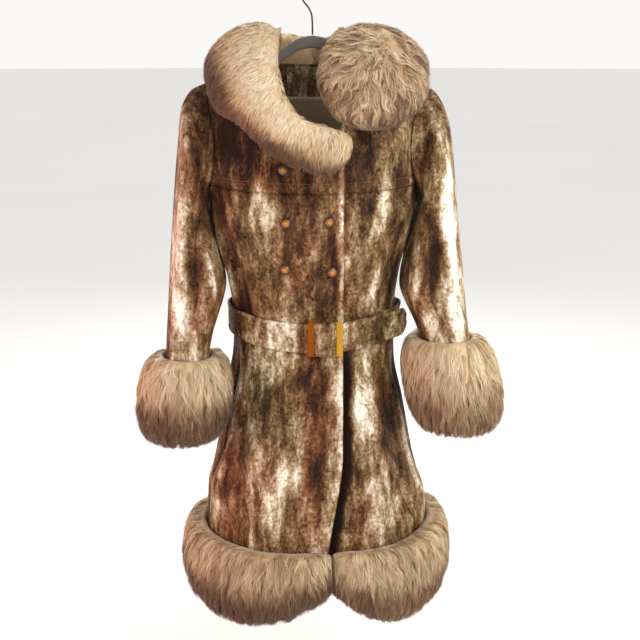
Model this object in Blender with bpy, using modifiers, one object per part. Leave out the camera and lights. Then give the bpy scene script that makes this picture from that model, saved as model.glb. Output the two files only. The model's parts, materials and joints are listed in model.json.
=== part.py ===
"""Winter coat of crushed-pile cloth with long fur collar, cuffs and hem, hung on a slim hanger.

Metres, +Z up. The origin is the inside top of the hanger's hook. The coat's front faces -Y and
+X is the wearer's left. The body is one surface, torso(angle, height), worked out from a table of
its widths and depths; each panel is a patch of it, and what lies on a panel is that patch moved out.
"""
import math
from collections import namedtuple

import bmesh
import bpy
import numpy as np

# ---------------------------------------------------------------- driving dimensions
CLOTH = 0.0020            # pile cloth with its backing
LINING = 0.0010
SEAM = 0.0008             # gap left between two pieces that are sewn together
LAYER_GAP = 0.0005        # gap between two layers that lie on each other
SQUARENESS = 0.90         # below 1 makes the body's plan slightly boxy

NECK_HALF = 0.085         # half width of the neck opening at the shoulder seam
NECK_RISE = 0.090         # how far the body's form runs up inside the neck opening
NECK_TOP = -0.1285        # height of the neck end of the shoulder seam
SHOULDER_SLOPE = 0.36
SHOULDER_ROUND = 0.085    # height over which front and back round over into the shoulder seam
SHOULDER_HALF = 0.187
UNDERARM = -0.372
SHOULDER_PART = 0.0013    # the shoulder seam's edges turn under by this much each
SEAM_DROP = 0.0000010     # the panels stop this far under the shoulder line, which is flat there
SHOULDER_TOP = NECK_TOP - SHOULDER_SLOPE * (SHOULDER_HALF - NECK_HALF)
ARM_SPREAD = 25.0         # how far, in degrees, the armhole opens to the front and to the back
FRONT_NECK_DROP = 0.150
BACK_NECK_DROP = 0.006
FACING_TOP = -0.1395
FACING_FOOT = -0.192      # seam between the neck facing and the back lining
FACING_HALF_ANGLE = 12.5
LINING_HALF_ANGLE = 43.0
FACING_GAP = 0.0022
LINING_GAP = 0.0034
LAP_GAP = 0.0026
COLLAR_CLEAR = 0.0060     # from the back and the lower front to the underside of the collar
COLLAR_SPREAD = 0.262     # half width of the form the collar lies on, over the sleeve heads
COLLAR_SPREAD_POWER = 2.6
COLLAR_CROWD = 1.35       # above 1 sets the sections closer at the free end

YOKE_SEAM_SIDE = -0.338
WAIST = -0.583
HEM_TOP = -0.985          # where the fur band starts
HEM_CLEAR = 0.0011        # from the cloth to the inside of the fur band
SLIT_ANGLE = 7.5          # where the two halves of the fur band part
SLIT_HALF_GAP = 1.6       # from there to the end of each half, in degrees
BAND_BACK = 179.7         # where each half ends at centre back
BAND_ROUNDED = 13.0       # length of a half's rounded end, in degrees
BAND_END = 0.25           # thickness of the rounded end as a share of the band's
CLOTH_HEM = -1.070        # the cloth's own lower edge, inside the band

LAP_EDGE_TOP = 0.0545     # edge of the front that laps over, from the centre line
LAP_EDGE_HEM = 0.027
LAP_TURNS_IN = -0.80      # below this height the upper front's edge drifts to the centre
LAP_TURNED = -1.03        # where it has drifted all the way
UNDERLAP_TURNS_IN = -0.62 # the same for the lower front's edge
UNDERLAP_TURNED = -0.95
UNDERLAP_EDGE = -0.055
UNDERLAP_EDGE_HEM = 0.006
SLIT_DEPTH = 0.018        # how far the lower front turns in beside the lap
SLIT_TUCK = 0.002         # the groove is at its deepest this far under the lap's edge
SLIT_WIDTH = 0.024
SLIT_TOP = -0.615
SLIT_FADE = 0.035         # height over which the groove deepens
LAP_FULL = -0.086
LAP_START = -0.130        # where the upper front begins to rise over the lower one

BELT_WIDTH = 0.055
BELT_THICK = 0.0025
BELT_CLEAR = 0.0060       # from the lower front and the back to the inside of the belt
BELT_START = 12.0         # where the belt is sewn round the buckle's bar
BELT_TIP = 438.0          # once round and on to the tip of its tail
BELT_MEETS = 346.0        # from here to BELT_DOUBLE the end climbs over the start
BELT_DOUBLE = 364.0
TAIL_FREE = 406.0         # from here on the tail stands off
BELT_CREASE = 0.0012
TAIL_STANDS = 0.014       # how far the tail's tip stands off the belt
TAIL_POINT = 9.0          # length of the pointed tip, in degrees
SIDE_STANDS = 0.004       # how far the belt stands off at the wearer's left side
SIDE_ANGLE = 84.0
SIDE_WIDTH = 12.0
BUCKLE_HALF = 0.0315
BUCKLE_BAR = 0.0115
BUCKLE_RAIL = 0.0022
BUCKLE_THICK = 0.0022
BUCKLE_ROUNDING = 0.0006
BUCKLE_ANGLE = 6.8
BUCKLE_LIFT = 0.0155
CUFF_TAPER = 0.5          # how much slimmer a cuff is at its foot than at its top
BUTTON_RADIUS = 0.0095
BUTTON_STEPS = 10
BUTTON_LIFT = 0.0004
HOOK_WIRE = 0.0015        # radius of the wire
HOOK_LOOP = 0.0185        # radius of the loop's middle line
HOOK_OFFSET = 0.0
BAR_THICK = 0.006
BAR_TALL = 0.021
BAR_HALF = 0.166

# ---------------------------------------------------------------- tables
Section = namedtuple("Section", "height right left front back sag")
BODY = [
    Section(-0.100, 0.187, 0.187, 0.092, 0.078, 0.000),
    Section(-0.230, 0.187, 0.187, 0.098, 0.084, 0.000),
    Section(-0.310, 0.187, 0.187, 0.104, 0.086, 0.006),
    Section(-0.372, 0.186, 0.186, 0.106, 0.084, 0.010),
    Section(-0.440, 0.172, 0.171, 0.101, 0.078, 0.014),
    Section(-0.515, 0.155, 0.155, 0.091, 0.068, 0.020),
    Section(-0.583, 0.147, 0.149, 0.084, 0.062, 0.022),
    Section(-0.650, 0.156, 0.157, 0.089, 0.067, 0.021),
    Section(-0.755, 0.178, 0.181, 0.106, 0.080, 0.018),
    Section(-0.900, 0.198, 0.206, 0.128, 0.097, 0.014),
    Section(-0.985, 0.205, 0.216, 0.138, 0.106, 0.010),
    Section(-1.150, 0.214, 0.226, 0.150, 0.116, 0.006),
]

Fold = namedtuple("Fold", "angle_top angle_foot top foot width depth")
BODY_FOLDS = [            # depth above 0 is a ridge, below 0 a trough; width in degrees
    Fold(-66, -48, -0.30, -0.56, 7, -0.006),
    Fold(-52, -36, -0.34, -0.57, 6, 0.004),
    Fold(-78, -60, -0.38, -0.58, 7, 0.005),
    Fold(64, 50, -0.36, -0.57, 7, -0.005),
    Fold(44, 38, -0.42, -0.57, 6, 0.004),
    Fold(-58, -66, -0.61, -0.98, 8, 0.007),
    Fold(-38, -44, -0.62, -0.90, 7, -0.006),
    Fold(-12, -10, -0.63, -0.88, 7, 0.004),
    Fold(50, 58, -0.62, -0.96, 8, -0.010),
    Fold(72, 80, -0.62, -1.00, 8, 0.008),
    Fold(34, 36, -0.62, -0.98, 8, 0.006),
    Fold(-74, -74, -0.59, -0.88, 22, -0.024),
    Fold(80, 80, -0.60, -0.90, 20, -0.020),
    Fold(150, 146, -0.60, -0.98, 9, 0.008),
    Fold(176, 178, -0.60, -0.98, 10, -0.007),
    Fold(206, 212, -0.60, -0.98, 9, 0.008),
    Fold(128, 120, -0.60, -0.96, 8, -0.006),
    Fold(236, 242, -0.60, -0.96, 8, -0.006),
    Fold(160, 166, -0.36, -0.57, 8, -0.005),
    Fold(198, 192, -0.36, -0.57, 8, -0.005),
]

Ring = namedtuple("Ring", "along outer_x outer_z inner_x inner_z forward depth")
SLEEVE_RIGHT = [          # the wearer's right sleeve, on the -X side, from shoulder to wrist
    Ring(0.00, -0.1900, -0.1670, -0.1880, -0.3720, 0.000, 0.072),
    Ring(0.06, -0.2140, -0.1780, -0.1885, -0.3760, 0.000, 0.074),
    Ring(0.14, -0.2300, -0.2060, -0.1890, -0.3810, 0.000, 0.073),
    Ring(0.26, -0.2370, -0.2600, -0.1862, -0.3920, -0.002, 0.068),
    Ring(0.40, -0.2470, -0.3500, -0.1785, -0.4250, -0.006, 0.062),
    Ring(0.55, -0.2550, -0.4400, -0.1670, -0.4700, -0.014, 0.058),
    Ring(0.70, -0.2610, -0.5300, -0.1592, -0.5200, -0.028, 0.054),
    Ring(0.85, -0.2660, -0.6350, -0.1870, -0.6350, -0.054, 0.046),
    Ring(1.00, -0.2770, -0.7760, -0.2000, -0.7760, -0.078, 0.040),
]
SLEEVE_LEFT = [           # the wearer's left sleeve, on the +X side
    Ring(0.00, 0.1900, -0.1670, 0.1880, -0.3720, 0.000, 0.072),
    Ring(0.06, 0.2160, -0.1800, 0.1885, -0.3760, 0.000, 0.074),
    Ring(0.14, 0.2340, -0.2100, 0.1890, -0.3810, 0.000, 0.073),
    Ring(0.26, 0.2470, -0.2600, 0.1862, -0.3920, -0.002, 0.068),
    Ring(0.40, 0.2570, -0.3500, 0.1785, -0.4250, -0.006, 0.062),
    Ring(0.55, 0.2670, -0.4400, 0.1670, -0.4700, -0.014, 0.058),
    Ring(0.70, 0.2760, -0.5300, 0.1600, -0.5200, -0.028, 0.054),
    Ring(0.85, 0.2860, -0.6200, 0.1980, -0.6200, -0.048, 0.046),
    Ring(1.00, 0.3040, -0.7600, 0.2270, -0.7600, -0.066, 0.040),
]
SleeveFold = namedtuple("SleeveFold", "turn_top turn_foot top foot width depth")
SLEEVE_FOLDS = [          # turn is round the sleeve: 0 outer edge, 90 front, 180 inner edge
    SleeveFold(62, 52, 0.22, 0.96, 17, 0.006),
    SleeveFold(98, 86, 0.24, 0.96, 15, -0.008),
    SleeveFold(128, 122, 0.30, 0.94, 16, 0.006),
    SleeveFold(250, 262, 0.28, 0.94, 18, -0.006),
    SleeveFold(292, 300, 0.24, 0.94, 18, 0.005),
]

Station = namedtuple("Station", "neck_x neck_y neck_z edge_x edge_y edge_z loft")
COLLAR_RIGHT = [          # the long half, from centre back over the right shoulder to its free end
    Station(-0.0005, 0.092, -0.085, -0.0005, 0.122, -0.214, 0.030),
    Station(-0.050, 0.075, -0.080, -0.120, 0.118, -0.200, 0.032),
    Station(-0.064, 0.030, -0.080, -0.174, 0.066, -0.170, 0.044),
    Station(-0.056, -0.024, -0.078, -0.181, -0.004, -0.162, 0.052),
    Station(-0.056, -0.086, -0.120, -0.176, -0.062, -0.182, 0.042),
    Station(-0.047, -0.124, -0.166, -0.162, -0.104, -0.204, 0.036),
    Station(-0.029, -0.138, -0.199, -0.123, -0.124, -0.227, 0.030),
    Station(-0.003, -0.142, -0.221, -0.083, -0.134, -0.262, 0.027),
    Station(0.035, -0.142, -0.229, -0.033, -0.137, -0.296, 0.026),
    Station(0.059, -0.140, -0.240, 0.017, -0.137, -0.308, 0.026),
    Station(0.074, -0.139, -0.257, 0.050, -0.137, -0.305, 0.017),
]
COLLAR_LEFT = [           # the short, wide half
    Station(0.0005, 0.092, -0.085, 0.0005, 0.122, -0.214, 0.030),
    Station(0.050, 0.075, -0.080, 0.125, 0.118, -0.200, 0.032),
    Station(0.068, 0.030, -0.084, 0.188, 0.066, -0.168, 0.042),
    Station(0.052, -0.030, -0.084, 0.199, -0.008, -0.154, 0.050),
    Station(0.014, -0.098, -0.112, 0.197, -0.068, -0.172, 0.046),
    Station(0.009, -0.132, -0.156, 0.180, -0.108, -0.200, 0.038),
    Station(0.031, -0.138, -0.206, 0.152, -0.126, -0.222, 0.028),
    Station(0.052, -0.138, -0.230, 0.112, -0.130, -0.239, 0.014),
]

HemSection = namedtuple("HemSection", "angle top foot reach")
HEM = [                   # angle 0 is centre front, 90 the wearer's left
    HemSection(-180, -0.966, -1.100, 0.048),
    HemSection(-130, -0.974, -1.096, 0.048),
    HemSection(-90, -0.982, -1.089, 0.045),
    HemSection(-62, -0.984, -1.117, 0.053),
    HemSection(-34, -0.986, -1.134, 0.056),
    HemSection(-10, -0.984, -1.114, 0.052),
    HemSection(7.5, -0.982, -1.080, 0.044),
    HemSection(22, -0.984, -1.114, 0.052),
    HemSection(38, -0.984, -1.134, 0.056),
    HemSection(62, -0.978, -1.117, 0.053),
    HemSection(90, -0.968, -1.089, 0.045),
    HemSection(130, -0.966, -1.096, 0.048),
    HemSection(180, -0.966, -1.100, 0.048),
]

Cuff = namedtuple("Cuff", "name sleeve top foot hole reach")
CUFFS = [
    Cuff("cuff_right", SLEEVE_RIGHT, -0.640, -0.796, 0.0435, 0.0440),
    Cuff("cuff_left", SLEEVE_LEFT, -0.608, -0.780, 0.0458, 0.0457),
]

Button = namedtuple("Button", "name x height")
BUTTONS = [
    Button("button_upper_right", -0.048, -0.306),
    Button("button_middle_right", -0.044, -0.3965),
    Button("button_middle_left", 0.029, -0.394),
    Button("button_lower_right", -0.046, -0.480),
    Button("button_lower_left", 0.034, -0.484),
]

ButtonPoint = namedtuple("ButtonPoint", "share height")
BUTTON_PROFILE = [        # from the dome's top centre down the outer side; share is of the radius
    ButtonPoint(0.00, 0.0062),
    ButtonPoint(0.35, 0.0060),
    ButtonPoint(0.66, 0.0050),
    ButtonPoint(0.80, 0.0037),
    ButtonPoint(0.86, 0.0040),
    ButtonPoint(0.97, 0.0034),
    ButtonPoint(1.00, 0.0022),
    ButtonPoint(0.96, 0.0008),
    ButtonPoint(0.50, 0.0000),
    ButtonPoint(0.00, 0.0000),
]

HookPoint = namedtuple("HookPoint", "x z")
HOOK_STEM = [             # middle line of the wire, from inside the bar up to the loop
    HookPoint(0.0005, -0.0838),
    HookPoint(0.0003, -0.0660),
    HookPoint(-0.0006, -0.0520),
    HookPoint(-0.0030, -0.0445),
    HookPoint(-0.0078, -0.0365),
]

BarPoint = namedtuple("BarPoint", "out top")
BAR_TOP = [
    BarPoint(0.000, -0.0845),
    BarPoint(0.020, -0.0880),
    BarPoint(0.042, -0.1010),
    BarPoint(0.060, -0.1150),
    BarPoint(0.078, -0.1309),
    BarPoint(0.100, -0.1382),
    BarPoint(0.120, -0.1443),
    BarPoint(0.165, -0.1605),
    BarPoint(0.200, -0.1734),
]

Paint = namedtuple("Paint", "red green blue roughness metallic")
PAINTS = {
    "pile_cloth": Paint(0.24, 0.17, 0.12, 0.55, 0.0),
    "lining": Paint(0.05, 0.04, 0.03, 0.60, 0.0),
    "long_fur": Paint(0.62, 0.47, 0.30, 0.80, 0.0),
    "gilt_metal": Paint(0.60, 0.36, 0.08, 0.30, 1.0),
    "button_resin": Paint(0.42, 0.18, 0.05, 0.35, 0.0),
    "hanger_plastic": Paint(0.12, 0.11, 0.10, 0.60, 0.0),
    "hook_steel": Paint(0.08, 0.08, 0.08, 0.35, 1.0),
}


# ---------------------------------------------------------------- curves through tables
def smooth_at(knots, values, at):
    """Cubic curve through the knots that doesn't overshoot them (monotone Hermite)."""
    knots = np.asarray(knots, float)
    values = np.asarray(values, float)
    if knots[0] > knots[-1]:
        knots, values = knots[::-1], values[::-1]
    step = np.diff(knots)
    rate = np.diff(values) / step
    slope = np.zeros(len(knots))
    slope[0], slope[-1] = rate[0], rate[-1]
    same = rate[:-1] * rate[1:] > 0
    total = np.where(same, rate[:-1] + rate[1:], 1.0)
    slope[1:-1] = np.where(same, 2 * rate[:-1] * rate[1:] / total, 0.0)
    at = np.clip(np.asarray(at, float), knots[0], knots[-1])
    low = np.clip(np.searchsorted(knots, at, side="right") - 1, 0, len(step) - 1)
    t = (at - knots[low]) / step[low]
    rise = values[low] + t * t * (3 - 2 * t) * (values[low + 1] - values[low])
    return rise + step[low] * t * (1 - t) * ((1 - t) * slope[low] - t * slope[low + 1])


def column(rows, key, name, at):
    """Value of one named column of a table, read smoothly along its key column."""
    return smooth_at([getattr(row, key) for row in rows], [getattr(row, name) for row in rows], at)


def smooth_step(low, high, value):
    """0 below low, 1 above high, with a smooth rise between."""
    t = np.clip((value - low) / (high - low), 0, 1)
    return t * t * (3 - 2 * t)


def unit(vectors):
    """Vectors of length 1."""
    return vectors / np.maximum(np.linalg.norm(vectors, axis=-1, keepdims=True), 1e-12)


# ---------------------------------------------------------------- the body's form
def shoulder_height(x):
    """Height of the shoulder line, which runs up inside the neck opening."""
    out = np.abs(x)
    slope = NECK_TOP - SHOULDER_SLOPE * (out - NECK_HALF)
    neck = NECK_TOP + NECK_RISE * (1 - (out / NECK_HALF) ** 2)
    return np.where(out > NECK_HALF, slope, neck)


def plain_body(angle, height):
    """The body without folds. Front and back round over into the shoulder line."""
    turn = np.radians(angle)
    side, fore = np.sin(turn), np.cos(turn)
    half = np.where(side >= 0, column(BODY, "height", "left", height),
                    column(BODY, "height", "right", height))
    x = half * np.sign(side) * np.abs(side) ** SQUARENESS
    depth = np.where(fore >= 0, column(BODY, "height", "front", height),
                     column(BODY, "height", "back", height))
    drop = np.clip((shoulder_height(x) - height) / SHOULDER_ROUND, 0, 1)
    closing = np.sqrt(1 - (1 - drop) ** 2)
    apart = SEAM / 2 + SHOULDER_PART * (1 - closing)
    y = -np.sign(fore) * (depth * np.abs(fore) ** SQUARENESS * closing + apart)
    z = height - column(BODY, "height", "sag", height) * np.maximum(fore, 0) ** 2
    return np.stack([x, y, z], axis=-1)


def fold_relief(angle, height):
    """Sum of the folds: each is a bell across and fades at both ends."""
    angle, height = np.broadcast_arrays(angle, height)
    relief = np.zeros(angle.shape)
    for fold in BODY_FOLDS:
        along = (fold.top - height) / (fold.top - fold.foot)
        centre = fold.angle_top + (fold.angle_foot - fold.angle_top) * along
        apart = (angle - centre + 180) % 360 - 180
        ends = smooth_step(0, 0.35, along) * (1 - smooth_step(0.75, 1.1, along))
        relief += fold.depth * np.exp(-(apart / fold.width) ** 2) * ends
    return relief


def torso(angle, height, out=0.0):
    """Point on the coat's outer face: 0 degrees is centre front, 90 the wearer's left, 180 the back.

    The point is moved out along the unfolded body's normal by the folds and by out.
    """
    angle, height = np.broadcast_arrays(np.asarray(angle, float), np.asarray(height, float))
    across = plain_body(angle + 0.6, height) - plain_body(angle - 0.6, height)
    down = plain_body(angle, height - 0.002) - plain_body(angle, height + 0.002)
    normal = unit(np.cross(down, across))
    reach = fold_relief(angle, height) + out
    return plain_body(angle, height) + normal * reach[..., None]


def lap_rise(angle, height):
    """How far the upper front stands off the lower one: 0 at the side, a layer at the lap."""
    x = plain_body(angle, height)[..., 0]
    return (CLOTH + LAP_GAP) * smooth_step(LAP_START, LAP_FULL, x)


def arm_spread(height):
    """Half the armhole's opening, in degrees, at a height."""
    along = np.clip((SHOULDER_TOP - height) / (SHOULDER_TOP - UNDERARM), 0, 1)
    return ARM_SPREAD * np.maximum(np.sin(math.pi * along), 0) ** 0.7


def angle_at(x, height):
    """The angle at which the front's plan reaches x."""
    half = np.where(x >= 0, column(BODY, "height", "left", height), column(BODY, "height", "right", height))
    return np.degrees(np.arcsin(np.sign(x) * np.clip(np.abs(x) / half, 0, 1) ** (1 / SQUARENESS)))


# ---------------------------------------------------------------- meshes
def collections():
    """The collection that holds the coat."""
    coat = bpy.data.collections.new("fur_trimmed_coat")
    bpy.context.scene.collection.children.link(coat)
    return coat


def paint(name):
    """One Principled material."""
    look = PAINTS[name]
    material = bpy.data.materials.get(name) or bpy.data.materials.new(name)
    material.use_nodes = True
    shader = material.node_tree.nodes["Principled BSDF"]
    shader.inputs["Base Color"].default_value = (look.red, look.green, look.blue, 1)
    shader.inputs["Roughness"].default_value = look.roughness
    shader.inputs["Metallic"].default_value = look.metallic
    return material


def add_object(name, mesh, coat, paint_name):
    """Object with its material, in the coat's collection."""
    piece = bpy.data.objects.new(name, mesh)
    mesh.materials.append(paint(paint_name))
    coat.objects.link(piece)
    return piece


def cloth_panel(name, points, coat, paint_name="pile_cloth", thickness=CLOTH, wraps=False):
    """Open surface through a grid of points (rows down, columns to the wearer's left) as a wall."""
    rows, columns = points.shape[:2]
    faces = []
    for i in range(rows - 1):
        for j in range(columns if wraps else columns - 1):
            k = (j + 1) % columns
            faces.append((i * columns + j, (i + 1) * columns + j, (i + 1) * columns + k, i * columns + k))
    mesh = bpy.data.meshes.new(name)
    mesh.from_pydata(points.reshape(-1, 3).tolist(), [], faces)
    mesh.shade_smooth()
    piece = add_object(name, mesh, coat, paint_name)
    wall = piece.modifiers.new("wall", "SOLIDIFY")
    wall.thickness = thickness
    wall.offset = -1
    return piece


def closed_loft(name, sections, coat, paint_name, ring=False):
    """Closed body through closed sections, capped at both ends or joined end to end as a ring."""
    count, size = sections.shape[:2]
    faces = []
    for i in range(count if ring else count - 1):
        n = (i + 1) % count
        for j in range(size):
            k = (j + 1) % size
            faces.append((i * size + j, i * size + k, n * size + k, n * size + j))
    if not ring:
        faces.append(tuple(range(size)))
        faces.append(tuple(range((count - 1) * size, count * size)))
    mesh = bpy.data.meshes.new(name)
    mesh.from_pydata(sections.reshape(-1, 3).tolist(), [], faces)
    body = bmesh.new()
    body.from_mesh(mesh)
    bmesh.ops.recalc_face_normals(body, faces=body.faces)
    body.to_mesh(mesh)
    body.free()
    mesh.shade_smooth()
    return add_object(name, mesh, coat, paint_name)


def patch(top, foot, start, end, rows, columns, out=0.0, crowd=1.0):
    """Grid of body points between two edges in height and two in angle.

    top and foot give heights by angle, start and end give angles by height. An edge's angle and
    height depend on each other, so each is settled first by a few rounds of the same step.
    """
    across = np.linspace(0, 1, columns)[None, :]
    down = (np.linspace(0, 1, rows) ** crowd)[:, None]
    edges = []
    for edge in (start, end):
        height = np.full((rows, 1), -0.5)
        for _ in range(40):
            angle = edge(height)
            height = (height + top(angle) + (foot(angle) - top(angle)) * down) / 2
        edges.append(edge(height))
    angle = edges[0] + (edges[1] - edges[0]) * across
    height = top(angle) + (foot(angle) - top(angle)) * down
    reach = out(angle, height) if callable(out) else out
    return torso(angle, height, reach)


# ---------------------------------------------------------------- edges of the panels
def shoulder_x(angle):
    """Where an angle lies across the shoulders, above the underarm."""
    return plain_body(angle, 0 * angle + BODY[0].height)[..., 0]


def level(height):
    """A level edge at a height."""
    return lambda angle: 0 * angle + height


def plumb(angle):
    """An edge that keeps to one angle."""
    return lambda height: 0 * height + angle


def front_neck(angle):
    """Top edge of the front: the shoulder seam, then down round the neck."""
    x = shoulder_x(angle)
    inside = np.clip(1 - (x / NECK_HALF) ** 2, 0, 1)
    seam = shoulder_height(np.maximum(np.abs(x), NECK_HALF)) - SEAM_DROP
    return seam - FRONT_NECK_DROP * inside


def back_neck(angle):
    """Top edge of the back: the shoulder seam and a shallow neck."""
    x = shoulder_x(angle)
    inside = np.sqrt(np.clip(1 - (x / NECK_HALF) ** 2, 0, 1))
    seam = shoulder_height(np.maximum(np.abs(x), NECK_HALF)) - SEAM_DROP
    return seam - BACK_NECK_DROP * inside


def right_side(height):
    """Outer edge of the wearer's right front, along the armhole and the side seam."""
    return -90 + arm_spread(height)


def left_side(height):
    """Outer edge of the wearer's left front."""
    return 90 - arm_spread(height)


def lap_edge_x(height):
    """Where the right front's free edge lies: straight to the belt, then drifting to the centre."""
    return LAP_EDGE_TOP + (LAP_EDGE_HEM - LAP_EDGE_TOP) * smooth_step(-LAP_TURNS_IN, -LAP_TURNED, -height)


def lap_edge(height):
    """Free edge of the right front."""
    return angle_at(lap_edge_x(height), height)


def underlap_edge(height):
    """Free edge of the left front, under the right one."""
    drift = smooth_step(-UNDERLAP_TURNS_IN, -UNDERLAP_TURNED, -height)
    return angle_at(UNDERLAP_EDGE + (UNDERLAP_EDGE_HEM - UNDERLAP_EDGE) * drift, height)


def slit_groove(angle, height):
    """The left front turns in under the lap below the belt, which opens a shadowed groove."""
    x = plain_body(angle, height)[..., 0]
    turned = 1 - smooth_step(-SLIT_TUCK, SLIT_WIDTH, x - lap_edge_x(height))
    return -SLIT_DEPTH * turned * smooth_step(-SLIT_TOP, SLIT_FADE - SLIT_TOP, -height)


# ---------------------------------------------------------------- the coat's pieces
def back_right_side(height):
    """Outer edge of the back on the wearer's right."""
    return 270 - arm_spread(height)


def back_left_side(height):
    """Outer edge of the back on the wearer's left."""
    return 90 + arm_spread(height)


def add_body(coat):
    """Yokes, fronts, back, neck facing and back lining."""
    yoke_foot, skirt_top = level(YOKE_SEAM_SIDE + SEAM / 2), level(YOKE_SEAM_SIDE - SEAM / 2)
    hem = level(CLOTH_HEM)
    panels = {
        "front_yoke_right": patch(front_neck, yoke_foot, right_side, lap_edge, 9, 15, lap_rise, 2),
        "front_yoke_left": patch(front_neck, yoke_foot, underlap_edge, left_side, 9, 15, 0.0, 2),
        "back_yoke": patch(back_neck, yoke_foot, back_left_side, back_right_side, 9, 25, 0.0, 2),
        "front_right": patch(skirt_top, hem, right_side, lap_edge, 22, 15, lap_rise),
        "front_left": patch(skirt_top, hem, underlap_edge, left_side, 22, 15, slit_groove),
        "back": patch(skirt_top, hem, back_left_side, back_right_side, 18, 18),
    }
    for name, points in panels.items():
        cloth_panel(name, points, coat)
    facing = patch(level(FACING_TOP), level(FACING_FOOT + SEAM / 2), plumb(180 - FACING_HALF_ANGLE),
                   plumb(180 + FACING_HALF_ANGLE), 5, 8, -CLOTH - FACING_GAP)
    cloth_panel("neck_facing", facing, coat, thickness=LINING)
    lining = patch(level(FACING_FOOT - SEAM / 2), level(HEM_TOP + 0.01), plumb(180 - LINING_HALF_ANGLE),
                   plumb(180 + LINING_HALF_ANGLE), 14, 9, -CLOTH - LINING_GAP)
    cloth_panel("back_lining", lining, coat, "lining", LINING)


def sleeve_rings(rows, side, count, size):
    """Rings of a sleeve. The first follows the armhole and the rest are ovals between two edges."""
    turn = np.linspace(0, 360, size, endpoint=False)[None, :]
    along = (np.linspace(0, 1, count) ** 1.15)[:, None]
    edge = {name: column(rows, "along", name, along) for name in Ring._fields}
    swing, fore = np.cos(np.radians(turn)), np.sin(np.radians(turn))
    relief = np.zeros((count, size))
    for fold in SLEEVE_FOLDS:
        t = (along - fold.top) / (fold.foot - fold.top)
        apart = (turn - fold.turn_top - (fold.turn_foot - fold.turn_top) * t + 180) % 360 - 180
        ends = smooth_step(0, 0.3, t) * (1 - smooth_step(0.7, 1, t))
        relief += fold.depth * np.exp(-(apart / fold.width) ** 2) * ends
    grow = 1 + relief / edge["depth"]
    x = (edge["outer_x"] + edge["inner_x"]) / 2 + (edge["outer_x"] - edge["inner_x"]) / 2 * swing * grow
    z = (edge["outer_z"] + edge["inner_z"]) / 2 + (edge["outer_z"] - edge["inner_z"]) / 2 * swing * grow
    y = edge["forward"] - edge["depth"] * np.sign(fore) * np.abs(fore) ** 0.9 * grow
    rings = np.stack([x, y, z], axis=-1)
    height = (SHOULDER_TOP + UNDERARM) / 2 + (SHOULDER_TOP - UNDERARM) / 2 * np.cos(np.radians(turn[0]))
    spread = arm_spread(height) * np.sign(np.sin(np.radians(turn[0])))
    hole = torso(side * (90 - spread), height)
    hole[:, 0] += side * 1.5 * SEAM
    blend = (1 - smooth_step(0, 0.16, along))[..., None]
    return rings * (1 - blend) + (hole[None] + rings - rings[:1]) * blend


def add_sleeves(coat):
    """Both sleeves, as open tubes."""
    right = sleeve_rings(SLEEVE_RIGHT, -1, 15, 18)
    cloth_panel("sleeve_right", right, coat, wraps=True)
    left = sleeve_rings(SLEEVE_LEFT, 1, 15, 18)
    cloth_panel("sleeve_left", left[:, ::-1], coat, wraps=True)


def lift_off(points, clearance):
    """Push points that reach into the body or a shoulder out of it, towards the nearest outside."""
    x, y, z = points[..., 0], points[..., 1], points[..., 2]
    out = np.abs(x)
    depth = np.where(y < 0, column(BODY, "height", "front", z), column(BODY, "height", "back", z))
    depth = depth * np.sqrt(np.clip(1 - (out / COLLAR_SPREAD) ** COLLAR_SPREAD_POWER, 0.02, 1)) + clearance
    crest = shoulder_height(x) + clearance
    rise = np.clip(1 - (crest - z) / SHOULDER_ROUND, 0, None)
    reach = np.sqrt((y / depth) ** 2 + rise ** 2)
    push = np.where(reach < 1, 1 / np.maximum(reach, 1e-6), 1)
    inside = (reach < 1) & (z < crest)
    new_y = np.where(inside, y * push, y)
    new_z = np.where(inside, crest - SHOULDER_ROUND * (1 - rise * push), z)
    new_z = np.where(inside & (rise <= 0), z, new_z)
    return np.stack([x, new_y, new_z], axis=-1)


def collar_half(stations, count, size):
    """Sections of one collar half: ovals from the neck edge to the outer edge, lying on the body."""
    spot = np.arange(len(stations), dtype=float)
    end = len(stations) - 1
    along = end * (1 - (1 - np.linspace(0, 1, count)) ** COLLAR_CROWD)
    read = {name: smooth_at(spot, [getattr(s, name) for s in stations], along) for name in Station._fields}
    neck = np.stack([read["neck_x"], read["neck_y"], read["neck_z"]], axis=-1)
    edge = np.stack([read["edge_x"], read["edge_y"], read["edge_z"]], axis=-1)
    centre = (neck + edge) / 2
    across = (edge - neck) / 2
    ahead = np.gradient(centre, axis=0)
    normal = unit(np.cross(ahead, across))
    away = centre - np.array([0.0, 0.0, -0.30])
    normal *= np.sign(np.sum(normal * away, axis=-1, keepdims=True))
    turn = np.linspace(0, 2 * math.pi, size, endpoint=False)[None, :, None]
    loft = read["loft"][:, None, None]
    sections = (centre[:, None] - across[:, None] * np.cos(turn)
                + normal[:, None] * loft * np.sin(turn))
    sections = lift_off(sections, COLLAR_CLEAR)
    side = np.sign(stations[0].neck_x)
    behind = sections[..., 1] > 0
    clear = np.maximum(side * sections[..., 0], SEAM / 2)
    sections[..., 0] = np.where(behind, side * clear, sections[..., 0])
    return sections


def add_collar(coat):
    """The two halves of the fur collar."""
    closed_loft("collar_right", collar_half(COLLAR_RIGHT, 27, 13), coat, "long_fur")
    closed_loft("collar_left", collar_half(COLLAR_LEFT, 22, 13), coat, "long_fur")


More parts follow.
